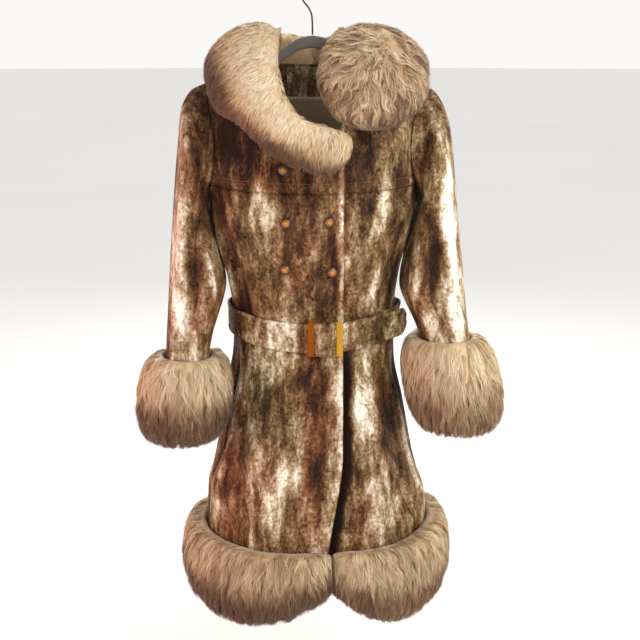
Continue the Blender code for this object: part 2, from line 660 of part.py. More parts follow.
def add_cuffs(coat):
    """Fat fur rings round the sleeve ends, open for the hand."""
    around, section = 22, 10
    turn = np.linspace(0, 2 * math.pi, around, endpoint=False)[:, None]
    wall = np.linspace(0, 2 * math.pi, section, endpoint=False)[None, :]
    bulge = np.sign(np.cos(wall)) * np.abs(np.cos(wall)) ** np.where(np.cos(wall) < 0, 0.45, 1.0)
    lower = np.clip(-np.sin(wall), 0, 1)
    for cuff in CUFFS:
        radius = cuff.hole + cuff.reach * ((1 + bulge) / 2) ** (1 + CUFF_TAPER * lower)
        height = (cuff.top + cuff.foot) / 2 + (cuff.top - cuff.foot) / 2 * np.sin(wall)
        levels = [ring.outer_z for ring in cuff.sleeve]
        middle = smooth_at(levels, [(ring.outer_x + ring.inner_x) / 2 for ring in cuff.sleeve], height)
        fore = smooth_at(levels, [ring.forward for ring in cuff.sleeve], height)
        x = middle + radius * np.cos(turn)
        y = fore + radius * np.sin(turn)
        rings = np.stack([x, y, height + 0 * turn], axis=-1)
        closed_loft(cuff.name, rings, coat, "long_fur", ring=True)


def hem_half(start, end, count, size, under=None):
    """Sections of half the fur band, from the front slit to centre back.

    Each is an oval with a flatter inside. It hangs lowest in the middle of each front half, and
    thins towards the slit, where its end is rounded.
    """
    along = (np.linspace(0, 1, count) ** 1.25)[:, None]
    angle = start + (end - start) * along
    top, foot, reach = (column(HEM, "angle", name, angle) for name in ("top", "foot", "reach"))
    near = np.clip(np.abs(angle - start) / BAND_ROUNDED, 0, 1)
    rounding = BAND_END + (1 - BAND_END) * np.sqrt(1 - (1 - near) ** 2)
    wall = np.linspace(0, 2 * math.pi, size, endpoint=False)[None, :]
    bulge = np.sign(np.cos(wall)) * np.abs(np.cos(wall)) ** np.where(np.cos(wall) < 0, 0.4, 0.9)
    height = (top + foot) / 2 + (top - foot) / 2 * (0.72 + 0.28 * rounding) * np.sin(wall)
    out = HEM_CLEAR + reach / 2 * rounding * (1 + bulge)
    if under is not None:
        out = out + under(angle, height)
    return torso(angle + 0 * wall, height, out)


def add_hem(coat):
    """The fur band in two halves that part at the slit and meet at centre back."""
    closed_loft("hem_fur_right", hem_half(SLIT_ANGLE - SLIT_HALF_GAP, -BAND_BACK, 26, 11, lap_rise), coat, "long_fur")
    closed_loft("hem_fur_left", hem_half(SLIT_ANGLE + SLIT_HALF_GAP, BAND_BACK, 26, 11), coat, "long_fur")


# ---------------------------------------------------------------- belt, buckle, buttons
def belt_points(angle, edge, out):
    """Point of the belt: edge runs -1 at the foot to 1 at the top."""
    crease = BELT_CREASE * np.sin(np.radians(angle * 7)) * (1 - edge ** 2)
    return torso(angle, WAIST + edge * BELT_WIDTH / 2, out + crease)


def add_belt(coat):
    """One strip: sewn at the buckle, once round the waist, through the buckle and on to its tip."""
    along = np.linspace(BELT_START, BELT_TIP, 54)[:, None]
    edge = np.linspace(1, -1, 4)[None, :]
    second_layer = (BELT_THICK + 2 * LAYER_GAP + BELT_CREASE) * smooth_step(BELT_MEETS, BELT_DOUBLE, along)
    side = SIDE_STANDS * np.exp(-((along - SIDE_ANGLE) / SIDE_WIDTH) ** 2)
    tail = TAIL_STANDS * smooth_step(TAIL_FREE, BELT_TIP, along)
    point = np.clip((along - BELT_TIP) / TAIL_POINT + 1, 0, 1)
    edge = edge * (1 - 0.75 * point ** 1.6)
    strip = belt_points(along + 0 * edge, edge, BELT_CLEAR + BELT_THICK + second_layer + side + tail + 0 * edge)
    cloth_panel("belt", strip.transpose(1, 0, 2), coat, thickness=BELT_THICK)


def add_buckle(coat):
    """Flat slide with two wide bars and thin rails, standing just off the belt."""
    half, inner_x, inner_z = BUCKLE_HALF, BUCKLE_HALF - BUCKLE_BAR, BUCKLE_HALF - BUCKLE_RAIL
    mesh = bpy.data.meshes.new("buckle")
    body = bmesh.new()
    outer = [(-half, -half), (half, -half), (half, half), (-half, half)]
    inner = [(-inner_x, -inner_z), (inner_x, -inner_z), (inner_x, inner_z), (-inner_x, inner_z)]
    loops = []
    for y in (-BUCKLE_THICK / 2, BUCKLE_THICK / 2):
        for corners in (outer, inner):
            loops.append([body.verts.new((x, y, z)) for x, z in corners])
    for first, second in ((0, 1), (1, 3), (3, 2), (2, 0)):
        for i in range(4):
            j = (i + 1) % 4
            body.faces.new((loops[first][i], loops[first][j], loops[second][j], loops[second][i]))
    bmesh.ops.recalc_face_normals(body, faces=body.faces)
    body.to_mesh(mesh)
    body.free()
    piece = add_object("buckle", mesh, coat, "gilt_metal")
    rounding = piece.modifiers.new("rounding", "BEVEL")
    rounding.width = BUCKLE_ROUNDING
    rounding.segments = 2
    rounding.limit_method = "ANGLE"
    piece.location = torso(BUCKLE_ANGLE, WAIST, BUCKLE_LIFT)
    piece.rotation_euler = (0, 0, math.radians(BUCKLE_ANGLE * 0.5))


def add_buttons(coat):
    """Five turned buttons on the lapped front."""
    profile = [(point.share * BUTTON_RADIUS, 0, point.height) for point in BUTTON_PROFILE]
    edges = [(i, i + 1) for i in range(len(profile) - 1)]
    for button in BUTTONS:
        mesh = bpy.data.meshes.new(button.name)
        mesh.from_pydata(profile, edges, [])
        piece = add_object(button.name, mesh, coat, "button_resin")
        turned = piece.modifiers.new("turned", "SCREW")
        turned.steps = BUTTON_STEPS
        turned.render_steps = BUTTON_STEPS
        turned.use_merge_vertices = True
        turned.merge_threshold = 0.00005
        height = button.height + column(BODY, "height", "sag", button.height)
        angle = angle_at(button.x, height)
        lift = lap_rise(angle, height) + BUTTON_LIFT
        place = torso(angle, height, lift)
        facing = unit(torso(angle, height, lift + 0.01) - place)
        piece.location = place
        piece.rotation_mode = "XYZ"
        piece.rotation_euler = (math.radians(90), 0, math.atan2(facing[0], -facing[1]))


# ---------------------------------------------------------------- hanger
def add_hanger(coat):
    """Thin moulded bar that arches to the hook, and the wire hook."""
    x = np.linspace(-BAR_HALF, BAR_HALF, 23)[:, None]
    top = column(BAR_TOP, "out", "top", np.abs(x))
    corners = [(-0.5, -0.08), (-0.32, 0.0), (0.32, 0.0), (0.5, -0.08), (0.5, -0.92), (0.32, -1.0),
               (-0.32, -1.0), (-0.5, -0.92)]
    wide = np.array([c[0] for c in corners])[None, :]
    tall = np.array([c[1] for c in corners])[None, :]
    tip = np.sqrt(np.clip((BAR_HALF + 0.012 - np.abs(x)) / 0.03, 0.1, 1))
    sections = np.stack([x + 0 * wide, BAR_THICK * wide + 0 * x, top + BAR_TALL * tall * tip], axis=-1)
    closed_loft("hanger_bar", sections, coat, "hanger_plastic")
    middle = -HOOK_LOOP + HOOK_WIRE
    turns = np.radians(np.linspace(216, -28, 16))
    loop = [HookPoint(HOOK_OFFSET + HOOK_LOOP * math.cos(turn), middle + HOOK_LOOP * math.sin(turn))
            for turn in turns]
    path = HOOK_STEM + loop
    curve = bpy.data.curves.new("hanger_hook", "CURVE")
    curve.dimensions = "3D"
    curve.bevel_depth = HOOK_WIRE
    curve.bevel_resolution = 2
    curve.use_fill_caps = True
    spline = curve.splines.new("POLY")
    spline.points.add(len(path) - 1)
    for point, spot in zip(spline.points, path):
        point.co = (spot.x, 0, spot.z, 1)
    curve.materials.append(paint("hook_steel"))
    coat.objects.link(bpy.data.objects.new("hanger_hook", curve))


def main():
    """Clear the scene and build the coat."""
    for leftover in list(bpy.data.objects):
        bpy.data.objects.remove(leftover, do_unlink=True)
    coat = collections()
    add_body(coat)
    add_sleeves(coat)
    add_collar(coat)
    add_cuffs(coat)
    add_hem(coat)
    add_belt(coat)
    add_buckle(coat)
    add_buttons(coat)
    add_hanger(coat)


main()
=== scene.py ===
"""Looks of a belted winter coat with long fur collar, cuffs and hem, on a slim hanger.

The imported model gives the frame. Cloth pieces are thin shells on the form of their solids, worked
out from the same named sizes on finer grids. Fur pieces are an undercoat with tapered strands that
lie in locks on the solid's form. Metres, +Z up, the coat's front faces -Y, +X is the wearer's left.
"""
from __future__ import annotations

import json
import logging
import math
from dataclasses import dataclass, field
from enum import Enum
from typing import Callable, NamedTuple, Sequence

import bpy
import numpy as np
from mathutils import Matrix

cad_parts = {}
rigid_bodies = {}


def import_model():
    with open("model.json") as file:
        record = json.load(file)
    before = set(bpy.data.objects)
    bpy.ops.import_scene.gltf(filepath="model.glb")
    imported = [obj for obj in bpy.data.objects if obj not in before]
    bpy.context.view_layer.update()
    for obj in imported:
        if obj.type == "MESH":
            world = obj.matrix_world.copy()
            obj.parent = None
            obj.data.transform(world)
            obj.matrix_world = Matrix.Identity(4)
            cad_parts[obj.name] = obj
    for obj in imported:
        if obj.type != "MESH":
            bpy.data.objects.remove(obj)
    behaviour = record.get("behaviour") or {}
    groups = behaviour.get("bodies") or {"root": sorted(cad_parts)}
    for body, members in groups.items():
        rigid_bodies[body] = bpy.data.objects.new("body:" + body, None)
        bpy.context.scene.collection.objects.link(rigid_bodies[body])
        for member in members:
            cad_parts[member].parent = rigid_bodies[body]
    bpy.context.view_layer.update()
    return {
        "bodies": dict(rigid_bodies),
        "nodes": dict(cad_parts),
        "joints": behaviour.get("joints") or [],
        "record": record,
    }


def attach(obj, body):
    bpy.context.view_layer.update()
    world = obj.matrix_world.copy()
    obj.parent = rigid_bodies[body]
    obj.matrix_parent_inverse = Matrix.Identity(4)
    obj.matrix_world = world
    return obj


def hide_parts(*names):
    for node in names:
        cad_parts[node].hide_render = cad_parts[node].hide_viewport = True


Array = np.ndarray
Number = float | int
Edge = Callable[[Array], Array]
Reach = Callable[[Array, Array], Array]
UP = np.array([0.0, 0.0, 1.0])
DOWN = np.array([0.0, 0.0, -1.0])
LEVEL = np.array([1.0, 1.0, 0.0])
log = logging.getLogger("coat")


class Slot(Enum):
    """The record's material slots."""

    PILE_CLOTH = "pile_cloth"
    LINING = "lining"
    LONG_FUR = "long_fur"
    GILT_METAL = "gilt_metal"
    BUTTON_RESIN = "button_resin"
    HANGER_PLASTIC = "hanger_plastic"
    HOOK_STEEL = "hook_steel"


class Held(Enum):
    """How a sheet of cloth is held."""

    HUNG = "hung"
    STRETCHED = "stretched"


# ---------------------------------------------------------------- tables of the coat's form
def rows_of(kind: type, *rows: tuple) -> tuple:
    """A table: each row of numbers made into its kind of named row."""
    return tuple(kind(*row) for row in rows)


class Section(NamedTuple):
    """Half widths and depths of the body at a height; sag lowers the front's middle."""

    height: float
    right: float
    left: float
    front: float
    back: float
    sag: float


BODY = rows_of(
    Section,
    (-0.100, 0.187, 0.187, 0.092, 0.078, 0.000),
    (-0.230, 0.187, 0.187, 0.098, 0.084, 0.000),
    (-0.310, 0.187, 0.187, 0.104, 0.086, 0.006),
    (-0.372, 0.186, 0.186, 0.106, 0.084, 0.010),
    (-0.440, 0.172, 0.171, 0.101, 0.078, 0.014),
    (-0.515, 0.155, 0.155, 0.091, 0.068, 0.020),
    (-0.583, 0.147, 0.149, 0.084, 0.062, 0.022),
    (-0.650, 0.156, 0.157, 0.089, 0.067, 0.021),
    (-0.755, 0.178, 0.181, 0.106, 0.080, 0.018),
    (-0.900, 0.198, 0.206, 0.128, 0.097, 0.014),
    (-0.985, 0.205, 0.216, 0.138, 0.106, 0.010),
    (-1.150, 0.214, 0.226, 0.150, 0.116, 0.006),
)


class Fold(NamedTuple):
    """A ridge or trough down the body; angles and width in degrees, depth out of the surface."""

    angle_top: float
    angle_foot: float
    top: float
    foot: float
    width: float
    depth: float


MAIN_FOLDS = rows_of(
    Fold,
    (-66, -48, -0.30, -0.56, 7, -0.006),
    (-52, -36, -0.34, -0.57, 6, 0.004),
    (-78, -60, -0.38, -0.58, 7, 0.005),
    (64, 50, -0.36, -0.57, 7, -0.005),
    (44, 38, -0.42, -0.57, 6, 0.004),
    (-58, -66, -0.61, -0.98, 8, 0.007),
    (-38, -44, -0.62, -0.90, 7, -0.006),
    (-12, -10, -0.63, -0.88, 7, 0.004),
    (50, 58, -0.62, -0.96, 8, -0.010),
    (72, 80, -0.62, -1.00, 8, 0.008),
    (34, 36, -0.62, -0.98, 8, 0.006),
    (-74, -74, -0.59, -0.88, 22, -0.024),
    (80, 80, -0.60, -0.90, 20, -0.020),
    (150, 146, -0.60, -0.98, 9, 0.008),
    (176, 178, -0.60, -0.98, 10, -0.007),
    (206, 212, -0.60, -0.98, 9, 0.008),
    (128, 120, -0.60, -0.96, 8, -0.006),
    (236, 242, -0.60, -0.96, 8, -0.006),
    (160, 166, -0.36, -0.57, 8, -0.005),
    (198, 192, -0.36, -0.57, 8, -0.005),
)
# The thinner creases between the main folds.
FINE_FOLDS = rows_of(
    Fold,
    (-70, -58, -0.40, -0.57, 2.2, -0.0026),
    (-62, -50, -0.38, -0.57, 1.8, 0.0020),
    (-57, -44, -0.42, -0.57, 2.0, -0.0024),
    (-30, -24, -0.47, -0.57, 2.6, -0.0016),
    (-16, -13, -0.50, -0.57, 2.4, 0.0014),
    (34, 30, -0.44, -0.57, 2.4, -0.0020),
    (58, 48, -0.40, -0.57, 2.2, 0.0020),
    (70, 60, -0.44, -0.57, 2.4, -0.0022),
    (-82, -84, -0.62, -0.97, 2.6, 0.0030),
    (-72, -78, -0.62, -0.98, 2.4, -0.0034),
    (-52, -58, -0.62, -0.97, 2.6, -0.0034),
    (-46, -52, -0.64, -0.99, 2.4, 0.0026),
    (-27, -30, -0.64, -0.97, 3.0, -0.0026),
    (-4, -3, -0.66, -0.99, 3.2, 0.0020),
    (24, 25, -0.64, -0.97, 3.0, -0.0026),
    (42, 45, -0.64, -0.98, 2.6, -0.0028),
    (64, 70, -0.64, -0.98, 2.6, -0.0030),
    (112, 108, -0.62, -0.96, 3.0, 0.0030),
    (140, 136, -0.62, -0.96, 3.0, -0.0028),
    (166, 164, -0.62, -0.97, 3.2, 0.0028),
    (190, 194, -0.62, -0.96, 3.0, -0.0026),
    (222, 226, -0.62, -0.97, 3.2, 0.0030),
    (250, 254, -0.62, -0.96, 3.0, -0.0028),
    (148, 156, -0.42, -0.57, 3.0, 0.0020),
    (182, 181, -0.44, -0.57, 2.8, -0.0020),
    (212, 206, -0.42, -0.57, 3.0, 0.0022),
)


class Ring(NamedTuple):
    """An oval of a sleeve between its outer and inner edge."""

    along: float
    outer_x: float
    outer_z: float
    inner_x: float
    inner_z: float
    forward: float
    depth: float


SLEEVE_RIGHT = rows_of(
    Ring,
    (0.00, -0.1900, -0.1670, -0.1880, -0.3720, 0.000, 0.072),
    (0.06, -0.2140, -0.1780, -0.1885, -0.3760, 0.000, 0.074),
    (0.14, -0.2300, -0.2060, -0.1890, -0.3810, 0.000, 0.073),
    (0.26, -0.2370, -0.2600, -0.1862, -0.3920, -0.002, 0.068),
    (0.40, -0.2470, -0.3500, -0.1785, -0.4250, -0.006, 0.062),
    (0.55, -0.2550, -0.4400, -0.1670, -0.4700, -0.014, 0.058),
    (0.70, -0.2610, -0.5300, -0.1592, -0.5200, -0.028, 0.054),
    (0.85, -0.2660, -0.6350, -0.1870, -0.6350, -0.054, 0.046),
    (1.00, -0.2770, -0.7760, -0.2000, -0.7760, -0.078, 0.040),
)
SLEEVE_LEFT = rows_of(
    Ring,
    (0.00, 0.1900, -0.1670, 0.1880, -0.3720, 0.000, 0.072),
    (0.06, 0.2160, -0.1800, 0.1885, -0.3760, 0.000, 0.074),
    (0.14, 0.2340, -0.2100, 0.1890, -0.3810, 0.000, 0.073),
    (0.26, 0.2470, -0.2600, 0.1862, -0.3920, -0.002, 0.068),
    (0.40, 0.2570, -0.3500, 0.1785, -0.4250, -0.006, 0.062),
    (0.55, 0.2670, -0.4400, 0.1670, -0.4700, -0.014, 0.058),
    (0.70, 0.2760, -0.5300, 0.1600, -0.5200, -0.028, 0.054),
    (0.85, 0.2860, -0.6200, 0.1980, -0.6200, -0.048, 0.046),
    (1.00, 0.3040, -0.7600, 0.2270, -0.7600, -0.066, 0.040),
)


class SleeveFold(NamedTuple):
    """A ridge or trough down a sleeve; turn is 0 at the outer edge, 90 in front, 180 inside."""

    turn_top: float
    turn_foot: float
    top: float
    foot: float
    width: float
    depth: float


SLEEVE_FOLDS = rows_of(
    SleeveFold,
    (62, 52, 0.22, 0.96, 17, 0.006),
    (98, 86, 0.24, 0.96, 15, -0.008),
    (128, 122, 0.30, 0.94, 16, 0.006),
    (250, 262, 0.28, 0.94, 18, -0.006),
    (292, 300, 0.24, 0.94, 18, 0.005),
    (78, 70, 0.34, 0.95, 5, -0.0022),
    (110, 104, 0.38, 0.95, 5, 0.0020),
    (40, 34, 0.40, 0.95, 6, -0.0022),
    (150, 146, 0.44, 0.95, 6, -0.0024),
    (230, 236, 0.40, 0.95, 7, 0.0022),
    (318, 322, 0.40, 0.95, 7, -0.0022),
)


class Station(NamedTuple):
    """A cross-section of the collar between its neck edge and its outer edge."""

    neck_x: float
    neck_y: float
    neck_z: float
    edge_x: float
    edge_y: float
    edge_z: float
    loft: float


COLLAR_RIGHT = rows_of(
    Station,
    (-0.0005, 0.092, -0.085, -0.0005, 0.122, -0.214, 0.030),
    (-0.050, 0.075, -0.080, -0.120, 0.118, -0.200, 0.032),
    (-0.064, 0.030, -0.080, -0.174, 0.066, -0.170, 0.044),
    (-0.056, -0.024, -0.078, -0.181, -0.004, -0.162, 0.052),
    (-0.056, -0.086, -0.120, -0.176, -0.062, -0.182, 0.042),
    (-0.047, -0.124, -0.166, -0.162, -0.104, -0.204, 0.036),
    (-0.029, -0.138, -0.199, -0.123, -0.124, -0.227, 0.030),
    (-0.003, -0.142, -0.221, -0.083, -0.134, -0.262, 0.027),
    (0.035, -0.142, -0.229, -0.033, -0.137, -0.296, 0.026),
    (0.059, -0.140, -0.240, 0.017, -0.137, -0.308, 0.026),
    (0.074, -0.139, -0.257, 0.050, -0.137, -0.305, 0.017),
)
COLLAR_LEFT = rows_of(
    Station,
    (0.0005, 0.092, -0.085, 0.0005, 0.122, -0.214, 0.030),
    (0.050, 0.075, -0.080, 0.125, 0.118, -0.200, 0.032),
    (0.068, 0.030, -0.084, 0.188, 0.066, -0.168, 0.042),
    (0.052, -0.030, -0.084, 0.199, -0.008, -0.154, 0.050),
    (0.014, -0.098, -0.112, 0.197, -0.068, -0.172, 0.046),
    (0.009, -0.132, -0.156, 0.180, -0.108, -0.200, 0.038),
    (0.031, -0.138, -0.206, 0.152, -0.126, -0.222, 0.028),
    (0.052, -0.138, -0.230, 0.112, -0.130, -0.239, 0.014),
)


class HemSection(NamedTuple):
    """A cross-section of the fur band; angle 0 is centre front, 90 the wearer's left."""

    angle: float
    top: float
    foot: float
    reach: float


HEM = rows_of(
    HemSection,
    (-180, -0.966, -1.100, 0.048),
    (-130, -0.974, -1.096, 0.048),
    (-90, -0.982, -1.089, 0.045),
    (-62, -0.984, -1.117, 0.053),
    (-34, -0.986, -1.134, 0.056),
    (-10, -0.984, -1.114, 0.052),
    (7.5, -0.982, -1.080, 0.044),
    (22, -0.984, -1.114, 0.052),
    (38, -0.984, -1.134, 0.056),
    (62, -0.978, -1.117, 0.053),
    (90, -0.968, -1.089, 0.045),
    (130, -0.966, -1.096, 0.048),
    (180, -0.966, -1.100, 0.048),
)


class PilePatch(NamedTuple):
    """A place where the crushed pile is lighter or darker, mostly painted highlight and shade, and
    redder or greyer.

    lean is how far the patch drifts sideways for each metre that it runs down.
    """

    x: float
    height: float
    half_width: float
    half_height: float
    lean: float
    light: float
    red: float


# Fronts: the lighter bells are painted highlight and the darker ones painted shade; redness on the
# wearer's right side is partly painted red light.
FRONT_PILE = rows_of(
    PilePatch,
    (-0.130, -0.250, 0.060, 0.080, 0.0, -1.85, 1.0),    # in the long collar half's shadow
    (-0.040, -0.318, 0.070, 0.030, 0.0, -0.90, 0.9),
    (0.035, -0.320, 0.022, 0.030, 0.0, 0.35, 0.1),
    (0.095, -0.250, 0.050, 0.050, 0.0, -1.00, 0.1),
    (0.150, -0.270, 0.012, 0.060, 0.0, 0.70, -0.1),
    (-0.142, -0.440, 0.026, 0.110, 0.1, -0.30, 0.5),
    (-0.108, -0.430, 0.015, 0.090, 0.25, 0.85, -0.4),
    (-0.076, -0.375, 0.018, 0.030, 0.1, 0.75, -0.6),
    (-0.070, -0.470, 0.030, 0.050, 0.1, -0.30, -0.5),
    (-0.012, -0.430, 0.030, 0.090, 0.0, -0.75, 0.7),
    (0.044, -0.430, 0.018, 0.110, 0.0, -0.85, 1.0),
    (0.112, -0.400, 0.016, 0.070, -0.45, 1.10, -0.2),
    (0.084, -0.370, 0.016, 0.050, 0.0, -0.55, 0.2),
    (0.138, -0.430, 0.012, 0.080, -0.1, 0.70, 0.0),
    (0.110, -0.490, 0.020, 0.040, -0.3, -0.20, 0.1),
    (-0.160, -0.800, 0.024, 0.170, 0.0, -0.80, 1.1),
    (-0.140, -0.830, 0.008, 0.150, -0.1, 0.10, 0.6),
    (-0.108, -0.720, 0.018, 0.100, -0.1, 0.40, -0.6),
    (-0.086, -0.690, 0.014, 0.080, 0.0, -0.30, -0.8),
    (-0.062, -0.650, 0.012, 0.060, 0.1, 0.55, -0.1),
    (-0.010, -0.690, 0.036, 0.110, 0.0, -1.05, 1.0),
    (-0.050, -0.860, 0.026, 0.100, -0.1, 0.15, -0.5),
    (0.000, -0.840, 0.024, 0.110, 0.0, -0.80, 0.8),
    (0.030, -0.900, 0.010, 0.130, -0.15, 0.60, -0.1),
    (0.083, -0.720, 0.013, 0.130, -0.05, 1.00, -0.2),
    (0.112, -0.720, 0.014, 0.140, 0.1, -0.45, 0.3),
    (0.108, -0.640, 0.010, 0.040, 0.0, 0.55, 0.0),
    (0.145, -0.740, 0.016, 0.060, 0.1, -0.50, 0.1),
    (0.152, -0.870, 0.024, 0.070, 0.1, 1.00, -0.2),
    (0.100, -0.930, 0.030, 0.050, 0.0, -0.25, 0.4),
    (-0.168, -0.690, 0.018, 0.090, -0.2, -1.30, 0.9),
    (0.170, -0.690, 0.018, 0.090, -0.2, -1.30, 0.6),
)
# Sleeves: painted highlight on the lit fronts, painted shade on the inner sides, and partly painted
# red light on the wearer's right.
SLEEVE_PILE = rows_of(
    PilePatch,
    (-0.232, -0.300, 0.016, 0.110, 0.05, 0.15, 0.9),
    (-0.210, -0.290, 0.012, 0.090, 0.05, 0.90, 0.4),
    (-0.190, -0.330, 0.014, 0.110, 0.05, -0.60, 0.6),
    (-0.248, -0.520, 0.014, 0.110, 0.05, 0.50, 0.6),
    (-0.224, -0.560, 0.020, 0.130, 0.05, 1.35, 0.1),
    (-0.190, -0.560, 0.018, 0.110, 0.20, -0.70, 0.5),
    (0.190, -0.330, 0.014, 0.110, 0.0, -0.60, 0.5),
    (0.214, -0.300, 0.012, 0.110, -0.05, 0.85, -0.2),
    (0.238, -0.330, 0.016, 0.120, -0.06, 1.05, -0.1),
    (0.216, -0.460, 0.013, 0.090, -0.08, -0.50, 0.1),
    (0.254, -0.510, 0.034, 0.160, -0.08, 1.80, 0.0),
    (0.196, -0.560, 0.016, 0.110, -0.20, -0.80, 0.5),
)
# The fronts' painted highlight and shade below the yoke, mirrored onto the back.
BACK_PILE = tuple(patch._replace(x=-patch.x) for patch in FRONT_PILE if patch.height < -0.33)
# Belt: painted highlight and painted shade along the strap.
BELT_PILE = rows_of(
    PilePatch,
    (-0.080, -0.600, 0.060, 0.060, 0.0, 0.70, 0.0),
    (-0.015, -0.600, 0.020, 0.060, 0.0, -0.50, 0.6),
    (0.110, -0.600, 0.040, 0.060, 0.0, -0.45, -0.5),
)
FACING_PILE = (PilePatch(0.000, -0.165, 0.200, 0.200, 0.0, 0.70, 0.4),)


class Tone(NamedTuple):
    """Lightness, much of it painted highlight and shade, and redness of the pile at each point of a
    cloth piece, about -1 to 1.
    """

    light: Array
    red: Array


class ButtonSpot(NamedTuple):
    """Where a button sits on the lapped front."""

    name: str
    x: float
    height: float


BUTTONS = rows_of(
    ButtonSpot,
    ("button_upper_right", -0.048, -0.306),
    ("button_middle_right", -0.044, -0.3965),
    ("button_middle_left", 0.029, -0.394),
    ("button_lower_right", -0.046, -0.480),
    ("button_lower_left", 0.034, -0.484),
)


# ---------------------------------------------------------------- numbers
def smooth_at(knots: Sequence[float], values: Sequence[float], at: Array) -> Array:
    """Cubic curve through the knots that doesn't overshoot them (monotone Hermite).

    Args:
        knots: places along the curve, rising or falling.
        values: value at each knot.
        at: places to read.

    Returns:
        The curve's value at each place, held level past both ends.
    """
    knots = np.asarray(knots, float)
    values = np.asarray(values, float)
    if knots[0] > knots[-1]:
        knots, values = knots[::-1], values[::-1]
    step = np.diff(knots)
    rate = np.diff(values) / step
    slope = np.zeros(len(knots))
    slope[0], slope[-1] = rate[0], rate[-1]
    same = rate[:-1] * rate[1:] > 0
    total = np.where(same, rate[:-1] + rate[1:], 1.0)
    slope[1:-1] = np.where(same, 2 * rate[:-1] * rate[1:] / total, 0.0)
    at = np.clip(np.asarray(at, float), knots[0], knots[-1])
    low = np.clip(np.searchsorted(knots, at, side="right") - 1, 0, len(step) - 1)
    t = (at - knots[low]) / step[low]
    rise = values[low] + t * t * (3 - 2 * t) * (values[low + 1] - values[low])
    return rise + step[low] * t * (1 - t) * ((1 - t) * slope[low] - t * slope[low + 1])


def column(rows: Sequence[NamedTuple], key: str, name: str, at: Array) -> Array:
    """Value of one named column of a table, read smoothly along its key column."""
    return smooth_at([getattr(row, key) for row in rows], [getattr(row, name) for row in rows], at)


def smooth_step(low: float, high: float, value: Array) -> Array:
    """0 below low, 1 above high, with a smooth rise 3t^2 - 2t^3 between."""
    t = np.clip((value - low) / (high - low), 0, 1)
    return t * t * (3 - 2 * t)


def unit(vectors: Array) -> Array:
    """Vectors of length 1."""
    return vectors / np.maximum(np.linalg.norm(vectors, axis=-1, keepdims=True), 1e-12)


def dot(first: Array, second: Array) -> Array:
    """Scalar product along the last axis, which is kept."""
    return np.sum(first * second, axis=-1, keepdims=True)


def full_turn(count: int) -> Array:
    """Angles evenly round a circle, in radians from 0."""
    return np.linspace(0, 2 * math.pi, count, endpoint=False)


def bowed(value: Array, power: float | Array) -> Array:
    """A power of the size with the sign kept; below 1 it squares off a circle's sine or cosine."""
    return np.sign(value) * np.abs(value) ** power


def lattice_noise(points: Array, seed: int) -> Array:
    """Smooth noise in space: random values at whole-number points, blended between them.

    Args:
        points: places, in cells of the lattice, with x, y, z last.
        seed: which noise.

    Returns:
        Values from -1 to 1.
    """
    base = np.floor(points).astype(np.int64)
    part = points - base
    part = part * part * (3 - 2 * part)
    total = np.zeros(points.shape[:-1])
    for i in (0, 1):
        for j in (0, 1):
            for k in (0, 1):
                mixed = ((base[..., 0] + i) * 73856093) ^ ((base[..., 1] + j) * 19349663)
                mixed = mixed ^ ((base[..., 2] + k) * 83492791) ^ (seed * 7919 + 12345)
                mixed = ((mixed ^ (mixed >> 13)) * 1274126177) & 0x7FFFFFFF
                value = ((mixed ^ (mixed >> 15)) & 0xFFFF) / 32767.5 - 1
                weight = (part[..., 0] if i else 1 - part[..., 0])
                weight = weight * (part[..., 1] if j else 1 - part[..., 1])
                total += value * weight * (part[..., 2] if k else 1 - part[..., 2])
    return total


def crushed(points: Array, seed: int = 1) -> Array:
    """Height of the crushed pile, -1 to 1: long lumps that run down the cloth, and finer ones."""
    long_lumps = lattice_noise(points / np.array([0.024, 0.024, 0.070]), seed)
    lumps = lattice_noise(points / np.array([0.011, 0.011, 0.020]), seed + 1)
    return 0.6 * long_lumps + 0.4 * lumps


def pile_tone(points: Array, ridges: Array, patches: Sequence[PilePatch]) -> Tone:
    """Tone of crushed pile: painted highlight on the ridges and painted shade in the troughs, and
    each patch is a soft bell.

    Args:
        points: places on the cloth.
        ridges: height of the folds there, in metres.
        patches: the light and dark places.

    Returns:
        The pile's tone.
    """
    x, z = points[..., 0], points[..., 2]
    wander = 0.009 * lattice_noise(points / np.array([0.03, 0.03, 0.05]), 51)
    wander = wander + 0.006 * lattice_noise(points / np.array([0.012, 0.012, 0.03]), 54)
    # Painted highlight on the fold ridges, painted shade in the troughs.
    light = 0.75 * np.clip(ridges / 0.006, -0.9, 1.0)
    light = light + 0.42 * lattice_noise(points / np.array([0.020, 0.020, 0.075]), 52)
    light = light + 0.36 * lattice_noise(points / np.array([0.010, 0.010, 0.110]), 55)
    red = 0.35 * lattice_noise(points / np.array([0.050, 0.050, 0.120]), 53)
    # Each patch adds a bell of painted highlight where its light is above 0 and painted shade where
    # it is below, and its redness.
    for patch in patches:
        off = (x + wander - patch.x - patch.lean * (patch.height - z)) / patch.half_width
        up = np.abs(z + 2 * wander - patch.height) / patch.half_height
        bell = np.exp(-off ** 2 - up ** 2.5)
        light = light + patch.light * bell
        red = red + patch.red * bell
    return Tone(light, red)


def srgb(red: int, green: int, blue: int) -> tuple[float, float, float, float]:
    """Linear colour of a screen colour given as three numbers up to 255."""
    screen = np.array([red, green, blue]) / 255
    linear = np.where(screen <= 0.04045, screen / 12.92, ((screen + 0.055) / 1.055) ** 2.4)
    return (*[float(value) for value in linear], 1.0)


# ---------------------------------------------------------------- the body's form
class Panel(NamedTuple):
    """A cloth piece as a grid of points, with the height of its folds at each."""

    points: Array
    ridges: Array


def edge_spaced(count: int) -> Array:
    """Places from 0 to 1, even but for two close to each end, where a seam turns under."""
    inner = np.linspace(0.022, 0.978, count - 4)
    return np.concatenate([[0, 0.008], inner, [0.992, 1]])


